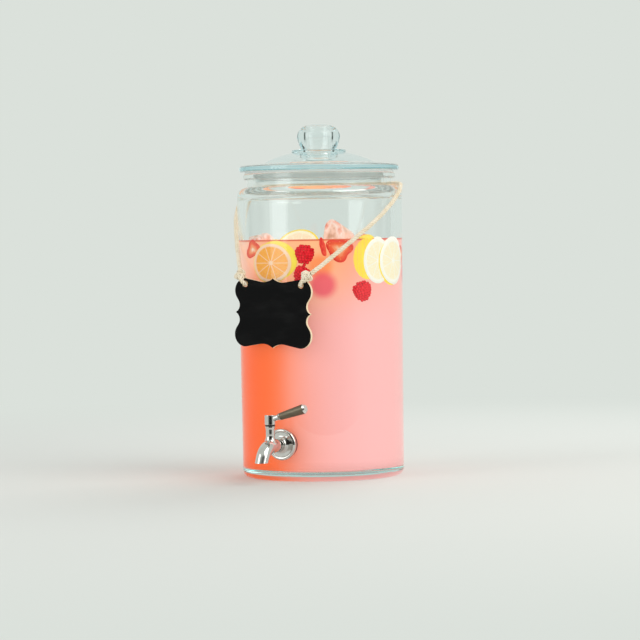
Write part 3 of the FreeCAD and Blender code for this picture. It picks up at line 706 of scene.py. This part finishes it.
def board_material():
    """Chalkboard paint on both faces, wiped chalk dust, and bare pale wood round the edge."""
    g = Graph("board_wood")
    facing = g.vector("DOT_PRODUCT", g.texture("Normal"), around(SIGN_AZIMUTH, 1, 0))
    face = g.smooth(g.math("ABSOLUTE", facing), 0.75, 0.85)
    smear = g.noise(g.coords(scale=(1, 1, 3), turn=(0, 0.4, 0)), 28, 4.0, 0.6)
    tooth = g.noise(g.coords(), 1100, 3.0, 0.7)
    dust = g.math("MULTIPLY", g.smooth(smear, 0.45, 0.85), 0.5)
    paint = g.mix(dust, srgb(8, 8, 9), srgb(34, 34, 34))
    grain = g.noise(g.coords(scale=(0.15, 0.15, 1)), 900, 4.0, 0.65)
    wood = g.mix(grain, srgb(238, 212, 166), srgb(252, 242, 216))
    colour = g.mix(face, wood, paint)
    return g.surface(
        Base_Color=colour, Roughness=0.8, Specular_IOR_Level=0.12, Normal=g.bump(tooth, 0.25, 0.0002)
    )


dress(board_material(), "sign_board")

# ACROSS spreads the painted light, which runs across the view from orange on the left to pale pink on the
# right.
ACROSS = 5.7  # turns metres across the view into a share of the drink's width
TONES_CHANGE = (0.17, 0.262)  # heights between which the lower tones give way to the upper ones
# The drink's glow is painted light, standing in for light that scatters inside it, and it also softens the
# shadows cast on it.
DRINK_DARK = 0.4  # how far the drink's own colour is dimmed, since it also glows
DRINK_GLOW = 0.575


def drink_material():
    """Cloudy pink lemonade with painted light: orange on the left, paler pink to the right where light
    from the right and behind is painted in, a painted glow, painted shade at the meniscus, and the tones
    of deep fruit.
    """
    g = Graph("drink")
    place = g.coords()
    # Painted light: the colour runs across the view, paler to the right where light from the right and
    # behind is painted in.
    across = g.vector("DOT_PRODUCT", place, TO_RIGHT)
    cloud = g.noise(g.coords(scale=(1, 1, 0.5)), 14, 2.0)
    shift = g.math("MULTIPLY", g.math("SUBTRACT", cloud, 0.5), 0.1)
    share = g.math("ADD", g.math("MULTIPLY", across, ACROSS), g.math("ADD", shift, 0.5))
    low = g.ramp(
        share,
        [
            (0.0, 255, 92, 22),
            (0.1, 255, 98, 24),
            (0.22, 255, 114, 58),
            (0.34, 254, 154, 132),
            (0.45, 251, 170, 160),
            (0.6, 248, 176, 172),
            (0.85, 246, 182, 180),
            (1.0, 245, 176, 172),
        ],
        "B_SPLINE",
    )
    high = g.ramp(
        share,
        [
            (0.0, 252, 208, 188),
            (0.15, 252, 164, 120),
            (0.45, 253, 190, 138),
            (0.62, 252, 166, 122),
            (0.8, 249, 164, 146),
            (1.0, 246, 176, 166),
        ],
        "B_SPLINE",
    )
    level = g.split(place)["Z"]
    colour = g.mix(g.smooth(level, *TONES_CHANGE), low, high)
    for azimuth, height, reach, tone in DEEP_FRUIT:
        centre = around(CAMERA_AZIMUTH + azimuth, inner_radius(height), height)
        away = g.vector("DISTANCE", place, centre)
        ragged = g.math("ADD", away, g.math("MULTIPLY", shift, 0.03))
        colour = g.mix(g.smooth(ragged, reach * 0.45, reach * 1.1, 0.85, 0.0), colour, tone)
    # Painted shade: a darker red line just under the level, near the glass, where the meniscus looks dark.
    line = g.smooth(level, DRINK_LEVEL - 0.0009, DRINK_LEVEL - 0.0003, 0.0, 0.75)
    rim = inner_radius(DRINK_LEVEL)
    edge = g.smooth(g.vector("LENGTH", g.coords(scale=(1, 1, 0))), rim - 0.004, rim - 0.001)
    colour = g.mix(g.math("MULTIPLY", line, edge), colour, srgb(214, 78, 52))
    return g.surface(
        Base_Color=g.mix(DRINK_DARK, colour, (0.0, 0.0, 0.0, 1.0)),
        Roughness=0.6,
        Specular_IOR_Level=0.1,
        Emission_Color=colour,
        Emission_Strength=DRINK_GLOW,
    )


# Tones of what floats too deep to be sharp: azimuth from the camera's side, height, size and colour.
DEEP_FRUIT = [
    (-0.5, 0.2445, 0.0165, srgb(253, 142, 84)),
    (1.4, 0.2236, 0.0182, srgb(236, 84, 104)),
    (91.0, 0.2350, 0.0150, srgb(236, 70, 80)),
    (163.0, 0.2450, 0.0150, srgb(250, 190, 70)),
    (-123.0, 0.2300, 0.0150, srgb(238, 66, 80)),
]

# The drink's top, from the glass inwards: distance from the glass and height above its level.
DRINK_TOP = [(0.0012, 0.0005), (0.003, 0.0001), (0.006, 0.0), (0.02, 0.0), (0.045, 0.0)]
DRINK_SIDES = 128
FLOOR_STEPS = 8
WALL_STEPS = 24


def drink():
    """The drink's body, which fills the jar to its level and curls up a little at the glass."""
    profile = []
    for i in range(FLOOR_STEPS + 1):
        turn = math.pi / 2 * i / FLOOR_STEPS
        z = INNER_BASE_Z - FLOOR_ROUND * math.cos(turn)
        profile.append((INNER_BASE_R - FLOOR_ROUND + FLOOR_ROUND * math.sin(turn) + SINK, z - SINK))
    for i in range(1, WALL_STEPS + 1):
        z = INNER_BASE_Z + (DRINK_LEVEL + DRINK_CURL - INNER_BASE_Z) * i / WALL_STEPS
        profile.append((inner_radius(z) + SINK, z))
    rim = inner_radius(DRINK_LEVEL)
    for inset, lift in DRINK_TOP:
        profile.append((rim - inset, DRINK_LEVEL + lift))
    vertices = [Vector((0, 0, FLOOR_Z - SINK))]
    for radius, z in profile:
        vertices += [around(360 * k / DRINK_SIDES, radius, z) for k in range(DRINK_SIDES)]
    vertices.append(Vector((0, 0, DRINK_LEVEL)))
    inward = ball_faces(DRINK_SIDES, len(profile))
    outward = [(face[2], face[1], face[0], *face[3:]) for face in inward]
    new_mesh("drink", vertices, outward, drink_material(), "jar")


drink()


def on_wall(azimuth, height, flat):
    """Lays flat points (across, up, out) on the inside of the wall, at a turn from the camera's side."""
    made = []
    for x, y, z in flat:
        z_here = height + y
        radius = inner_radius(min(max(z_here, FLOOR_Z), INNER_TOP_Z))
        turn = math.radians(CAMERA_AZIMUTH + azimuth) + x / radius
        made.append(Vector(((radius + z) * math.sin(turn), -(radius + z) * math.cos(turn), z_here)))
    return made


MIDDLE = (0.5, 0.5, 0)  # of a slice, in its UVs
# Strengths of the painted glow of fruit and ice, in place of the light that shines into them.
FRUIT_GLOW = 0.12
BERRY_GLOW = 0.14
ICE_GLOW = 0.14
ICE_IOR = 1.31


def citrus_material(name, flesh, pulp, pith, peel, wedges):
    """A cut wheel of citrus: wedges of pulp between pale skins, a ring of pith, and peel round the rim."""
    g = Graph(name)
    uv = g.coords("UV")
    centred = g.vector("SUBTRACT", uv, MIDDLE, "Vector")
    flat = g.split(centred)
    far = g.math("MULTIPLY", g.vector("LENGTH", centred), 2.0)
    turn = g.math("ARCTAN2", flat["Y"], flat["X"])
    wave = g.math("ABSOLUTE", g.math("SINE", g.math("MULTIPLY", turn, wedges / 2)))
    skin = g.smooth(g.math("MULTIPLY", wave, far), 0.02, 0.11)
    streak = g.noise(uv, 26, 4.0, 0.6)
    juice = g.mix(g.smooth(streak, 0.3, 0.7), flesh, pulp)
    inner = g.mix(skin, pith, juice)
    inner = g.mix(g.smooth(far, 0.05, 0.12), pith, inner)
    ringed = g.mix(g.smooth(far, 0.74, 0.82), inner, pith)
    colour = g.mix(g.smooth(far, 0.89, 0.95), ringed, peel)
    pores = g.noise(uv, 60, 2.0)
    return g.lit(colour, FRUIT_GLOW, Roughness=0.4, Normal=g.bump(pores, 0.25, 0.0005))


PITH = srgb(246, 241, 228)
orange_wheel = citrus_material(
    "orange_wheel", srgb(246, 148, 4), srgb(252, 178, 46), srgb(250, 208, 176), srgb(255, 214, 60), 10
)
lemon_wheel = citrus_material("lemon_wheel", srgb(246, 228, 186), srgb(248, 238, 208), PITH, PITH, 9)
rimmed_lemon = citrus_material(
    "rimmed_lemon", srgb(252, 226, 186), srgb(255, 240, 206), srgb(255, 246, 214), srgb(255, 226, 60), 9
)


def peel_material():
    """Yellow peel with pores."""
    g = Graph("lemon_peel")
    pores = g.noise(g.coords(), 900, 2.0, 0.6)
    broad = g.noise(g.coords(), 60, 2.0)
    colour = g.mix(broad, srgb(255, 206, 20), srgb(255, 232, 84))
    return g.lit(colour, FRUIT_GLOW, Roughness=0.35, Normal=g.bump(pores, 0.3, 0.0004))


lemon_peel = peel_material()

DISC_RINGS = 14
RIM_START = 0.88  # share of a slice's radius at which its rim begins to round down
RIM_SHARE = 0.12
WHEEL_RIM = 0.0016  # how far the rim of each kind rounds down
PEEL_RIM = 0.0012
SLICE_RIM = 0.0015
FLOAT_RIM = 0.0006
PEEL_BEHIND = 0.0007


def polar_disc(radius, rim, lift, sides=64, squeeze=1.0):
    """Flat points of a cut wheel, its rim rounded down, with its faces and UVs."""
    flat = [(0.0, 0.0, lift)]
    uvs = [(0.5, 0.5)]
    for i in range(1, DISC_RINGS + 1):
        share = i / DISC_RINGS
        z = lift
        if share > RIM_START:
            z = lift - rim * ((share - RIM_START) / RIM_SHARE) ** 2
        for k in range(sides):
            turn = 2 * math.pi * k / sides
            x = radius * share * math.cos(turn) * squeeze
            flat.append((x, radius * share * math.sin(turn), z))
            uvs.append((0.5 + 0.5 * share * math.cos(turn), 0.5 + 0.5 * share * math.sin(turn)))
    return flat, disc_faces(sides, DISC_RINGS), uvs


def wall_wheel(name, turn, height, radius, material, squeeze, lift, peel_across, peel_up):
    """A cut wheel that floats against the glass, with the side of its peel showing at one edge."""
    flat, faces, uvs = polar_disc(radius, WHEEL_RIM, lift, squeeze=squeeze)
    new_mesh(name, on_wall(turn, height, flat), faces, material, "jar", uvs=uvs)
    flat, faces, uvs = polar_disc(radius, PEEL_RIM, lift - PEEL_BEHIND, squeeze=squeeze)
    flat = [(x + peel_across, y + peel_up, z) for x, y, z in flat]
    new_mesh(name + "_peel", on_wall(turn, height, flat), faces, lemon_peel, "jar", uvs=uvs)


# Wheels: turn from the camera's side, height, radius, material, width against height, how far they stand
# out, and how far the peel shows to the right and above.
wall_wheel("orange_slice", -38.5, 0.2490, 0.0240, orange_wheel, 1.18, 0.0012, 0.0066, 0.0030)
wall_wheel("lemon_slice_front", 64.0, 0.2495, 0.0278, lemon_wheel, 0.95, 0.0020, -0.0022, -0.0008)
wall_wheel("lemon_slice_back", 46.2, 0.2500, 0.0275, lemon_wheel, 0.78, 0.0010, -0.0148, 0.0026)
wall_wheel("lemon_slice_left", -145.0, 0.2440, 0.0250, lemon_wheel, 1.0, 0.0012, 0.0040, 0.0015)
wall_wheel("orange_slice_rear", 125.0, 0.2430, 0.0240, orange_wheel, 1.0, 0.0012, 0.0040, 0.0015)
wall_wheel("lemon_slice_rear", 173.0, 0.2490, 0.0235, lemon_wheel, 0.9, 0.0012, -0.0050, 0.0010)


def berry_material():
    """Raspberry red, with shade painted darker in the grooves and a painted highlight on each drupelet's
    outer top. UV x holds how far out of its drupelet a point lies.
    """
    g = Graph("raspberry")
    grain = g.noise(g.coords(), 300, 2.0)
    uneven = g.math("MULTIPLY", g.math("SUBTRACT", grain, 0.5), 0.3)
    # Painted shade and highlight: dark red low in each drupelet, brighter red at its outermost point.
    rise = g.math("ADD", g.split(g.texture("UV"))["X"], uneven)
    colour = g.ramp(
        rise,
        [
            (0.45, 112, 0, 12),
            (0.66, 196, 2, 24),
            (0.86, 222, 6, 26),
            (1.0, 242, 36, 48),
        ],
    )
    return g.lit(colour, BERRY_GLOW, Roughness=0.45, Specular_IOR_Level=0.25)


raspberry_red = berry_material()


def lump(centre, size, sides, rows):
    """A small ball."""
    vertices = [centre + UP * size]
    for i in range(1, rows):
        tip = math.pi * i / rows
        across = size * math.sin(tip)
        for k in range(sides):
            turn = 2 * math.pi * k / sides
            offset = Vector((across * math.cos(turn), across * math.sin(turn), size * math.cos(tip)))
            vertices.append(centre + offset)
    vertices.append(centre - UP * size)
    return vertices, ball_faces(sides, rows - 1)


def berry_radius(share):
    """Half-width of a raspberry, from its broad top at 0 to its tip at 1, as a share of its greatest."""
    if share < 0.3:
        return math.sqrt(1 - ((share - 0.3) / 0.36) ** 2)
    return (1 - ((share - 0.3) / 0.74) ** 2) ** 0.75


DRUPELET_R = 0.0021
ROW_GAP = 1.45  # distances between drupelets as shares of their radius
RING_GAP = 1.7
BERRY_BACK = -0.3  # what lies behind this isn't seen and isn't made
BERRY_OUT = 0.0026  # how far a berry stands out into the glass
BERRY_DEPTH = 0.26  # share of its depth that is kept against the glass


def raspberry(name, turn, height, width, length, lean):
    """A raspberry against the glass: rings of drupelets that narrow to its tip."""
    chance = random.Random(name)
    heap = Heap()
    size = DRUPELET_R
    rows = round(length / (size * ROW_GAP))
    for i in range(rows):
        share = i / (rows - 1)
        ring_r = (width / 2 - size) * berry_radius(share)
        along = (length - 2 * size) * (0.5 - share)
        count = max(1, round(2 * math.pi * ring_r / (size * RING_GAP)))
        for k in range(count):
            angle = 2 * math.pi * (k + 0.5 * (i % 2)) / count
            if math.sin(angle) < BERRY_BACK:
                continue
            centre = Vector((ring_r * math.cos(angle), along, ring_r * math.sin(angle)))
            vertices, faces = lump(centre, size * chance.uniform(0.92, 1.12), 9, 6)
            # UV x: how far out of its drupelet a point lies, which the material paints as shade and
            # highlight.
            heap.add(vertices, faces, [(0.5 + 0.5 * (v - centre).z / size, 0.5) for v in vertices])
    top = max(v.z for v in heap.vertices)
    flat = [(*turned(v.x, v.y, lean), BERRY_OUT + (v.z - top) * BERRY_DEPTH) for v in heap.vertices]
    new_mesh(name, on_wall(turn, height, flat), heap.faces, raspberry_red, "jar", uvs=heap.uvs)


# Raspberries: turn from the camera's side, height, width, length and lean in degrees.
raspberry("raspberry_upper", -11.6, 0.2570, 0.0235, 0.0250, -6)
raspberry("raspberry_lower", -14.2, 0.2355, 0.0200, 0.0205, -40)
raspberry("raspberry_right", 32.0, 0.2143, 0.0268, 0.0262, 14)
raspberry("raspberry_side", 101.0, 0.2420, 0.0200, 0.0225, -12)
raspberry("raspberry_back", -167.0, 0.2250, 0.0200, 0.0225, 20)
raspberry("raspberry_left", -111.0, 0.2560, 0.0200, 0.0225, 8)


def strawberry_material():
    """Cut strawberry: a pale heart, red flesh towards the rim and specks of seed on the skin."""
    g = Graph("strawberry")
    uv = g.coords("UV")
    far = g.math("MULTIPLY", g.vector("DISTANCE", uv, MIDDLE), 2.0)
    uneven = g.math("MULTIPLY", g.math("SUBTRACT", g.noise(uv, 9, 4.0, 0.6), 0.5), 0.5)
    ragged = g.math("ADD", far, uneven)
    colour = g.ramp(
        ragged,
        [
            (0.05, 255, 226, 200),
            (0.28, 252, 168, 118),
            (0.55, 244, 100, 52),
            (0.9, 230, 50, 32),
        ],
    )
    cells = g.add("ShaderNodeTexVoronoi")
    g.fill(cells, Vector=uv, Scale=11)
    seed = g.smooth(cells.outputs["Distance"], 0.12, 0.2, 1.0, 0.0)
    seed = g.math("MULTIPLY", seed, g.smooth(far, 0.6, 0.75))
    colour = g.mix(seed, colour, srgb(250, 200, 110))
    return g.lit(colour, FRUIT_GLOW, Roughness=0.35, Normal=g.bump(ragged, 0.3, 0.001))


strawberry_red = strawberry_material()


def flesh_material():
    """Wet red fruit flesh with paler streaks."""
    g = Graph("red_flesh")
    streak = g.noise(g.coords(scale=(1, 1, 0.4)), 420, 3.0, 0.6)
    colour = g.mix(g.smooth(streak, 0.3, 0.75), srgb(226, 34, 30), srgb(250, 92, 58))
    return g.lit(colour, FRUIT_GLOW, Roughness=0.3, Normal=g.bump(streak, 0.3, 0.0006))


red_flesh = flesh_material()

CORNER_SWELL = 0.16
UNEVEN_SWELL = 0.04


def wall_slice(name, azimuth, height, width, length, lean, corners, lift, material):
    """A cut piece of fruit against the glass: a rounded outline with so many soft corners."""
    flat, faces, uvs = polar_disc(1.0, SLICE_RIM, 0.0, sides=72)
    made = []
    for x, y, z in flat:
        angle = math.atan2(y, x)
        swell = 1 + CORNER_SWELL * math.cos(corners * (angle - math.pi / 2))
        swell += UNEVEN_SWELL * math.sin(5 * angle + height * 900)
        made.append((*turned(x * width / 2 * swell, y * length / 2 * swell, lean), z + lift))
    new_mesh(name, on_wall(azimuth, height, made), faces, material, "jar", uvs=uvs)


# Slices: turn from the camera's side, height, width, length, lean in degrees, soft corners, how far they
# stand out, and material.
wall_slice("strawberry_half", 14.1, 0.2632, 0.0300, 0.0262, 176, 3, 0.0012, strawberry_red)
wall_slice("strawberry_sliver", 1.9, 0.2662, 0.0078, 0.0195, 12, 2, 0.0008, red_flesh)
wall_slice("strawberry_left", -57.0, 0.2645, 0.0290, 0.0200, 12, 3, 0.0009, strawberry_red)
wall_slice("strawberry_side", 81.0, 0.2560, 0.0220, 0.0240, 160, 3, 0.0010, strawberry_red)
wall_slice("strawberry_rear", 155.0, 0.2300, 0.0230, 0.0240, 200, 3, 0.0010, strawberry_red)
wall_slice("strawberry_far", -87.0, 0.2530, 0.0220, 0.0240, 30, 3, 0.0010, strawberry_red)


def ice_material():
    """Cloudy ice that has taken up some of the drink."""
    g = Graph("ice")
    cloud = g.noise(g.coords(scale=(1, 1, 0.6)), 95, 2.0, 0.5)
    colour = g.ramp(
        cloud,
        [
            (0.3, 196, 150, 116),
            (0.42, 244, 210, 188),
            (0.52, 252, 236, 226),
            (0.62, 246, 192, 170),
            (0.74, 236, 124, 96),
        ],
    )
    return g.lit(
        colour,
        ICE_GLOW,
        Roughness=0.1,
        IOR=ICE_IOR,
        Transmission_Weight=0.25,
        Normal=g.bump(cloud, 0.3, 0.001),
        Coat_Weight=0.5,
    )


ice = ice_material()


def in_view(right, forward, height):
    """A point by its distance to the camera's right, towards the camera, and its height."""
    return TO_RIGHT * right + TO_CAMERA * forward + UP * height


LUMP_SQUARE = 0.1
LUMP_UNEVEN = 0.04


def floating_lump(name, centre, size, turn, seed):
    """A soft lump of red flesh: a ball pushed a little towards a block, uneven, stretched and turned."""
    chance = random.Random(seed)
    bumps = []
    for _ in range(5):
        way = random_vector(chance, 1)
        bumps.append((way, chance.uniform(2, 4)))
    vertices, faces = lump(Vector((0, 0, 0)), 1.0, 32, 20)
    rotation = turn.normalized().to_matrix()
    made = []
    uvs = []
    for v in vertices:
        largest = max(abs(v.x), abs(v.y), abs(v.z))
        boxed = v.lerp(v / largest, LUMP_SQUARE)
        boxed *= 1 + sum(LUMP_UNEVEN * math.sin(way.dot(v) * pace * 2) for way, pace in bumps)
        uvs.append((0.5 + v.x * 0.5, 0.5 + v.z * 0.5))
        stretched = Vector((boxed.x * size[0], boxed.y * size[1], boxed.z * size[2]))
        made.append(centre + rotation @ stretched)
    new_mesh(name, made, faces, red_flesh, "jar", uvs=uvs)


PEEL_BULGE = 0.012
PEEL_INSET = 0.0005


def floating_wheel(name, centre, radius, thick, facing, material):
    """A cut wheel that floats free, its two faces and the peel between them."""
    normal = facing.normalized()
    right = UP.cross(normal).normalized()
    up = normal.cross(right)
    for side, end in ((1, "_front"), (-1, "_rear")):
        flat, faces, uvs = polar_disc(radius, FLOAT_RIM, thick / 2)
        points = [centre + right * x * side + up * y + normal * z * side for x, y, z in flat]
        new_mesh(name + end, points, faces, material, "jar", uvs=uvs)
    sides = 64
    levels = (-1, -0.5, 0, 0.5, 1)
    points = []
    faces = []
    for row, level in enumerate(levels):
        bulge = radius * (1 + PEEL_BULGE * (1 - level * level))
        for k in range(sides):
            turn = 2 * math.pi * k / sides
            rim = right * math.cos(turn) * bulge + up * math.sin(turn) * bulge
            points.append(centre + rim + normal * (thick / 2 - PEEL_INSET) * level)
        if row:
            faces += band((row - 1) * sides, row * sides, sides)
    new_mesh(name + "_peel", points, faces, lemon_peel, "jar")


floating_wheel(
    "lemon_float",
    in_view(-0.0245, 0.052, 0.2645),
    0.0250,
    0.008,
    TO_CAMERA * 0.75 - TO_RIGHT * 0.2 + UP * 0.55,
    rimmed_lemon,
)


def ice_block(name, corners, softness):
    """Ice: the soft-edged hull of corners in millimetres right, towards the camera and up."""
    shell = bmesh.new()
    for right, forward, up in corners:
        shell.verts.new(in_view(right / 1000, forward / 1000, up / 1000))
    bmesh.ops.convex_hull(shell, input=shell.verts)
    bmesh.ops.dissolve_limit(shell, angle_limit=0.05, verts=shell.verts, edges=shell.edges)
    bmesh.ops.bevel(shell, geom=shell.edges, offset=softness, segments=3, profile=0.6, affect="EDGES")
    mesh = bpy.data.meshes.new(name)
    shell.to_mesh(mesh)
    shell.free()
    show(mesh, ice, "jar")


ice_block(
    "ice_peak",
    [
        (12.0, 52, 299.5), (16.5, 50, 298.0), (5.5, 54, 293.5), (3.0, 56, 279.0),
        (2.5, 58, 266.0), (39.5, 54, 281.5), (38.0, 56, 266.0), (22.0, 68, 272.0),
        (18.0, 34, 272.0), (24.0, 64, 284.0),
    ],
    0.0021,
)
ice_block(
    "ice_left",
    [
        (-80.0, 30, 279.5), (-66.0, 38, 282.5), (-62.5, 40, 274.0), (-81.0, 26, 268.0),
        (-66.0, 56, 277.0), (-70.0, 20, 270.0), (-60.0, 44, 266.0),
    ],
    0.0017,
)
ice_block(
    "ice_left_small",
    [
        (-66.0, 44, 283.5), (-57.0, 52, 284.0), (-51.0, 54, 277.0), (-68.0, 42, 268.0),
        (-52.0, 62, 268.0), (-56.0, 38, 270.0), (-62.0, 56, 281.0),
    ],
    0.0017,
)
ice_block(
    "ice_rear",
    [
        (8.0, -40, 284.0), (32.0, -44, 286.0), (6.0, -58, 277.0), (34.0, -58, 279.0),
        (8.0, -38, 264.0), (33.0, -40, 264.0), (20.0, -62, 266.0),
    ],
    0.0018,
)
floating_lump(
    "strawberry_float",
    in_view(0.0500, 0.050, 0.2735),
    (0.0095, 0.0090, 0.0062),
    Quaternion((0.95, 0.1, 0.25, 0.1)),
    3,
)
floating_lump(
    "strawberry_float_rear",
    in_view(-0.0300, -0.050, 0.2730),
    (0.0120, 0.0100, 0.0070),
    Quaternion((0.95, 0.1, 0.25, 0.4)),
    4,
)

# Floor, backdrop and light.
BACKDROP = srgb(219, 225, 219)
FLOOR = srgb(222, 226, 221)
CARD_GREEN = srgb(44, 58, 48)
SKY_STRENGTH = 0.62
LAMP_AIM = UP * 0.2


def floor_material():
    """Pale floor that runs out into the backdrop's colour, so no horizon shows behind the glass."""
    g = Graph("floor")
    far = g.smooth(g.vector("LENGTH", g.coords()), 0.45, 1.5)
    matt = g.principled(Base_Color=FLOOR, Roughness=0.9, Specular_IOR_Level=0.1)
    glow = g.glow("ShaderNodeEmission", BACKDROP, 1.0)
    return g.finish(g.blend(far, matt, glow))


def add_floor():
    """A round pale floor, finer near the jar."""
    sides = 64
    radii = [0.3, 0.8, 2.0, 6.0, 14.0]
    vertices = [Vector((0, 0, 0))]
    for radius in radii:
        vertices += [around(360 * k / sides, radius, 0) for k in range(sides)]
    new_mesh("floor", vertices, disc_faces(sides, len(radii)), floor_material())


def add_world():
    """The backdrop where it is seen, mirrored or looked at through glass, and white light elsewhere."""
    g = Graph("world", world=True)
    seen = g.glow("ShaderNodeBackground", BACKDROP, 1.0)
    light = g.glow("ShaderNodeBackground", (1, 1, 1, 1), SKY_STRENGTH)
    path = g.add("ShaderNodeLightPath").outputs
    direct = g.math("MAXIMUM", path["Is Camera Ray"], path["Is Glossy Ray"])
    share = g.math("MAXIMUM", direct, path["Is Transmission Ray"])
    scene.world = g.finish(g.blend(share, light, seen))


def add_lamp(name, place, width, height, power, colour, mirrored):
    """A soft lamp turned to the jar, which glass and metal mirror or not."""
    data = bpy.data.lights.new(name, "AREA")
    data.shape = "RECTANGLE"
    data.size = width
    data.size_y = height
    data.energy = power
    data.color = colour
    lamp = bpy.data.objects.new(name, data)
    lamp.visible_glossy = mirrored
    lamp.visible_transmission = mirrored
    scene.collection.objects.link(lamp)
    turn = (LAMP_AIM - place).to_track_quat("-Z", "Y")
    lamp.matrix_world = Matrix.Translation(place) @ turn.to_matrix().to_4x4()


def add_card(name, place, width, height, tone, through):
    """A dark card with faded edges, seen only through glass or only mirrored in glass and metal."""
    g = Graph(name)
    flat = g.split(g.texture("UV"))
    side = g.math("ABSOLUTE", g.math("SUBTRACT", flat["X"], 0.5))
    rise = g.math("ABSOLUTE", g.math("SUBTRACT", flat["Y"], 0.5))
    fade = g.math("MAXIMUM", g.smooth(side, 0.1, 0.5), g.smooth(rise, 0.2, 0.5))
    dark = g.principled(Base_Color=tone, Roughness=1.0)
    clear = g.add("ShaderNodeBsdfTransparent").outputs[0]
    material = g.finish(g.blend(fade, dark, clear))
    right = UP.cross(Vector((0, 0, place.z)) - place).normalized()
    corners = []
    for x, z in ((-1, -1), (1, -1), (1, 1), (-1, 1)):
        corners.append(place + right * x * width / 2 + UP * z * height / 2)
    card = new_mesh(name, corners, [(0, 1, 2, 3)], material, uvs=[(0, 0), (1, 0), (1, 1), (0, 1)])
    card.visible_camera = False
    card.visible_diffuse = False
    card.visible_transmission = through
    card.visible_glossy = not through
    card.visible_shadow = False


add_floor()
add_world()
# Lamps: place, width, height, watts, colour and whether they are mirrored. Cards: place, width, height,
# tone and whether they are seen through glass.
add_lamp("key", in_view(1.5, 1.2, 1.5), 1.8, 2.0, 24, (1.0, 0.98, 0.95), True)
add_lamp("fill", in_view(-1.7, 1.0, 0.9), 1.0, 1.6, 9, (0.97, 0.99, 1.0), True)
add_lamp("back", in_view(0.9, -1.6, 1.4), 1.4, 1.0, 14, (1.0, 1.0, 1.0), False)
add_card("card_left", in_view(-1.1, -0.45, 0.4), 0.7, 1.2, CARD_GREEN, True)
add_card("card_right", in_view(1.1, -0.45, 0.4), 0.7, 1.2, CARD_GREEN, True)
add_card("card_camera", in_view(0.05, 0.7, 0.0), 1.8, 1.5, srgb(30, 28, 24), False)

bpy.context.view_layer.update()
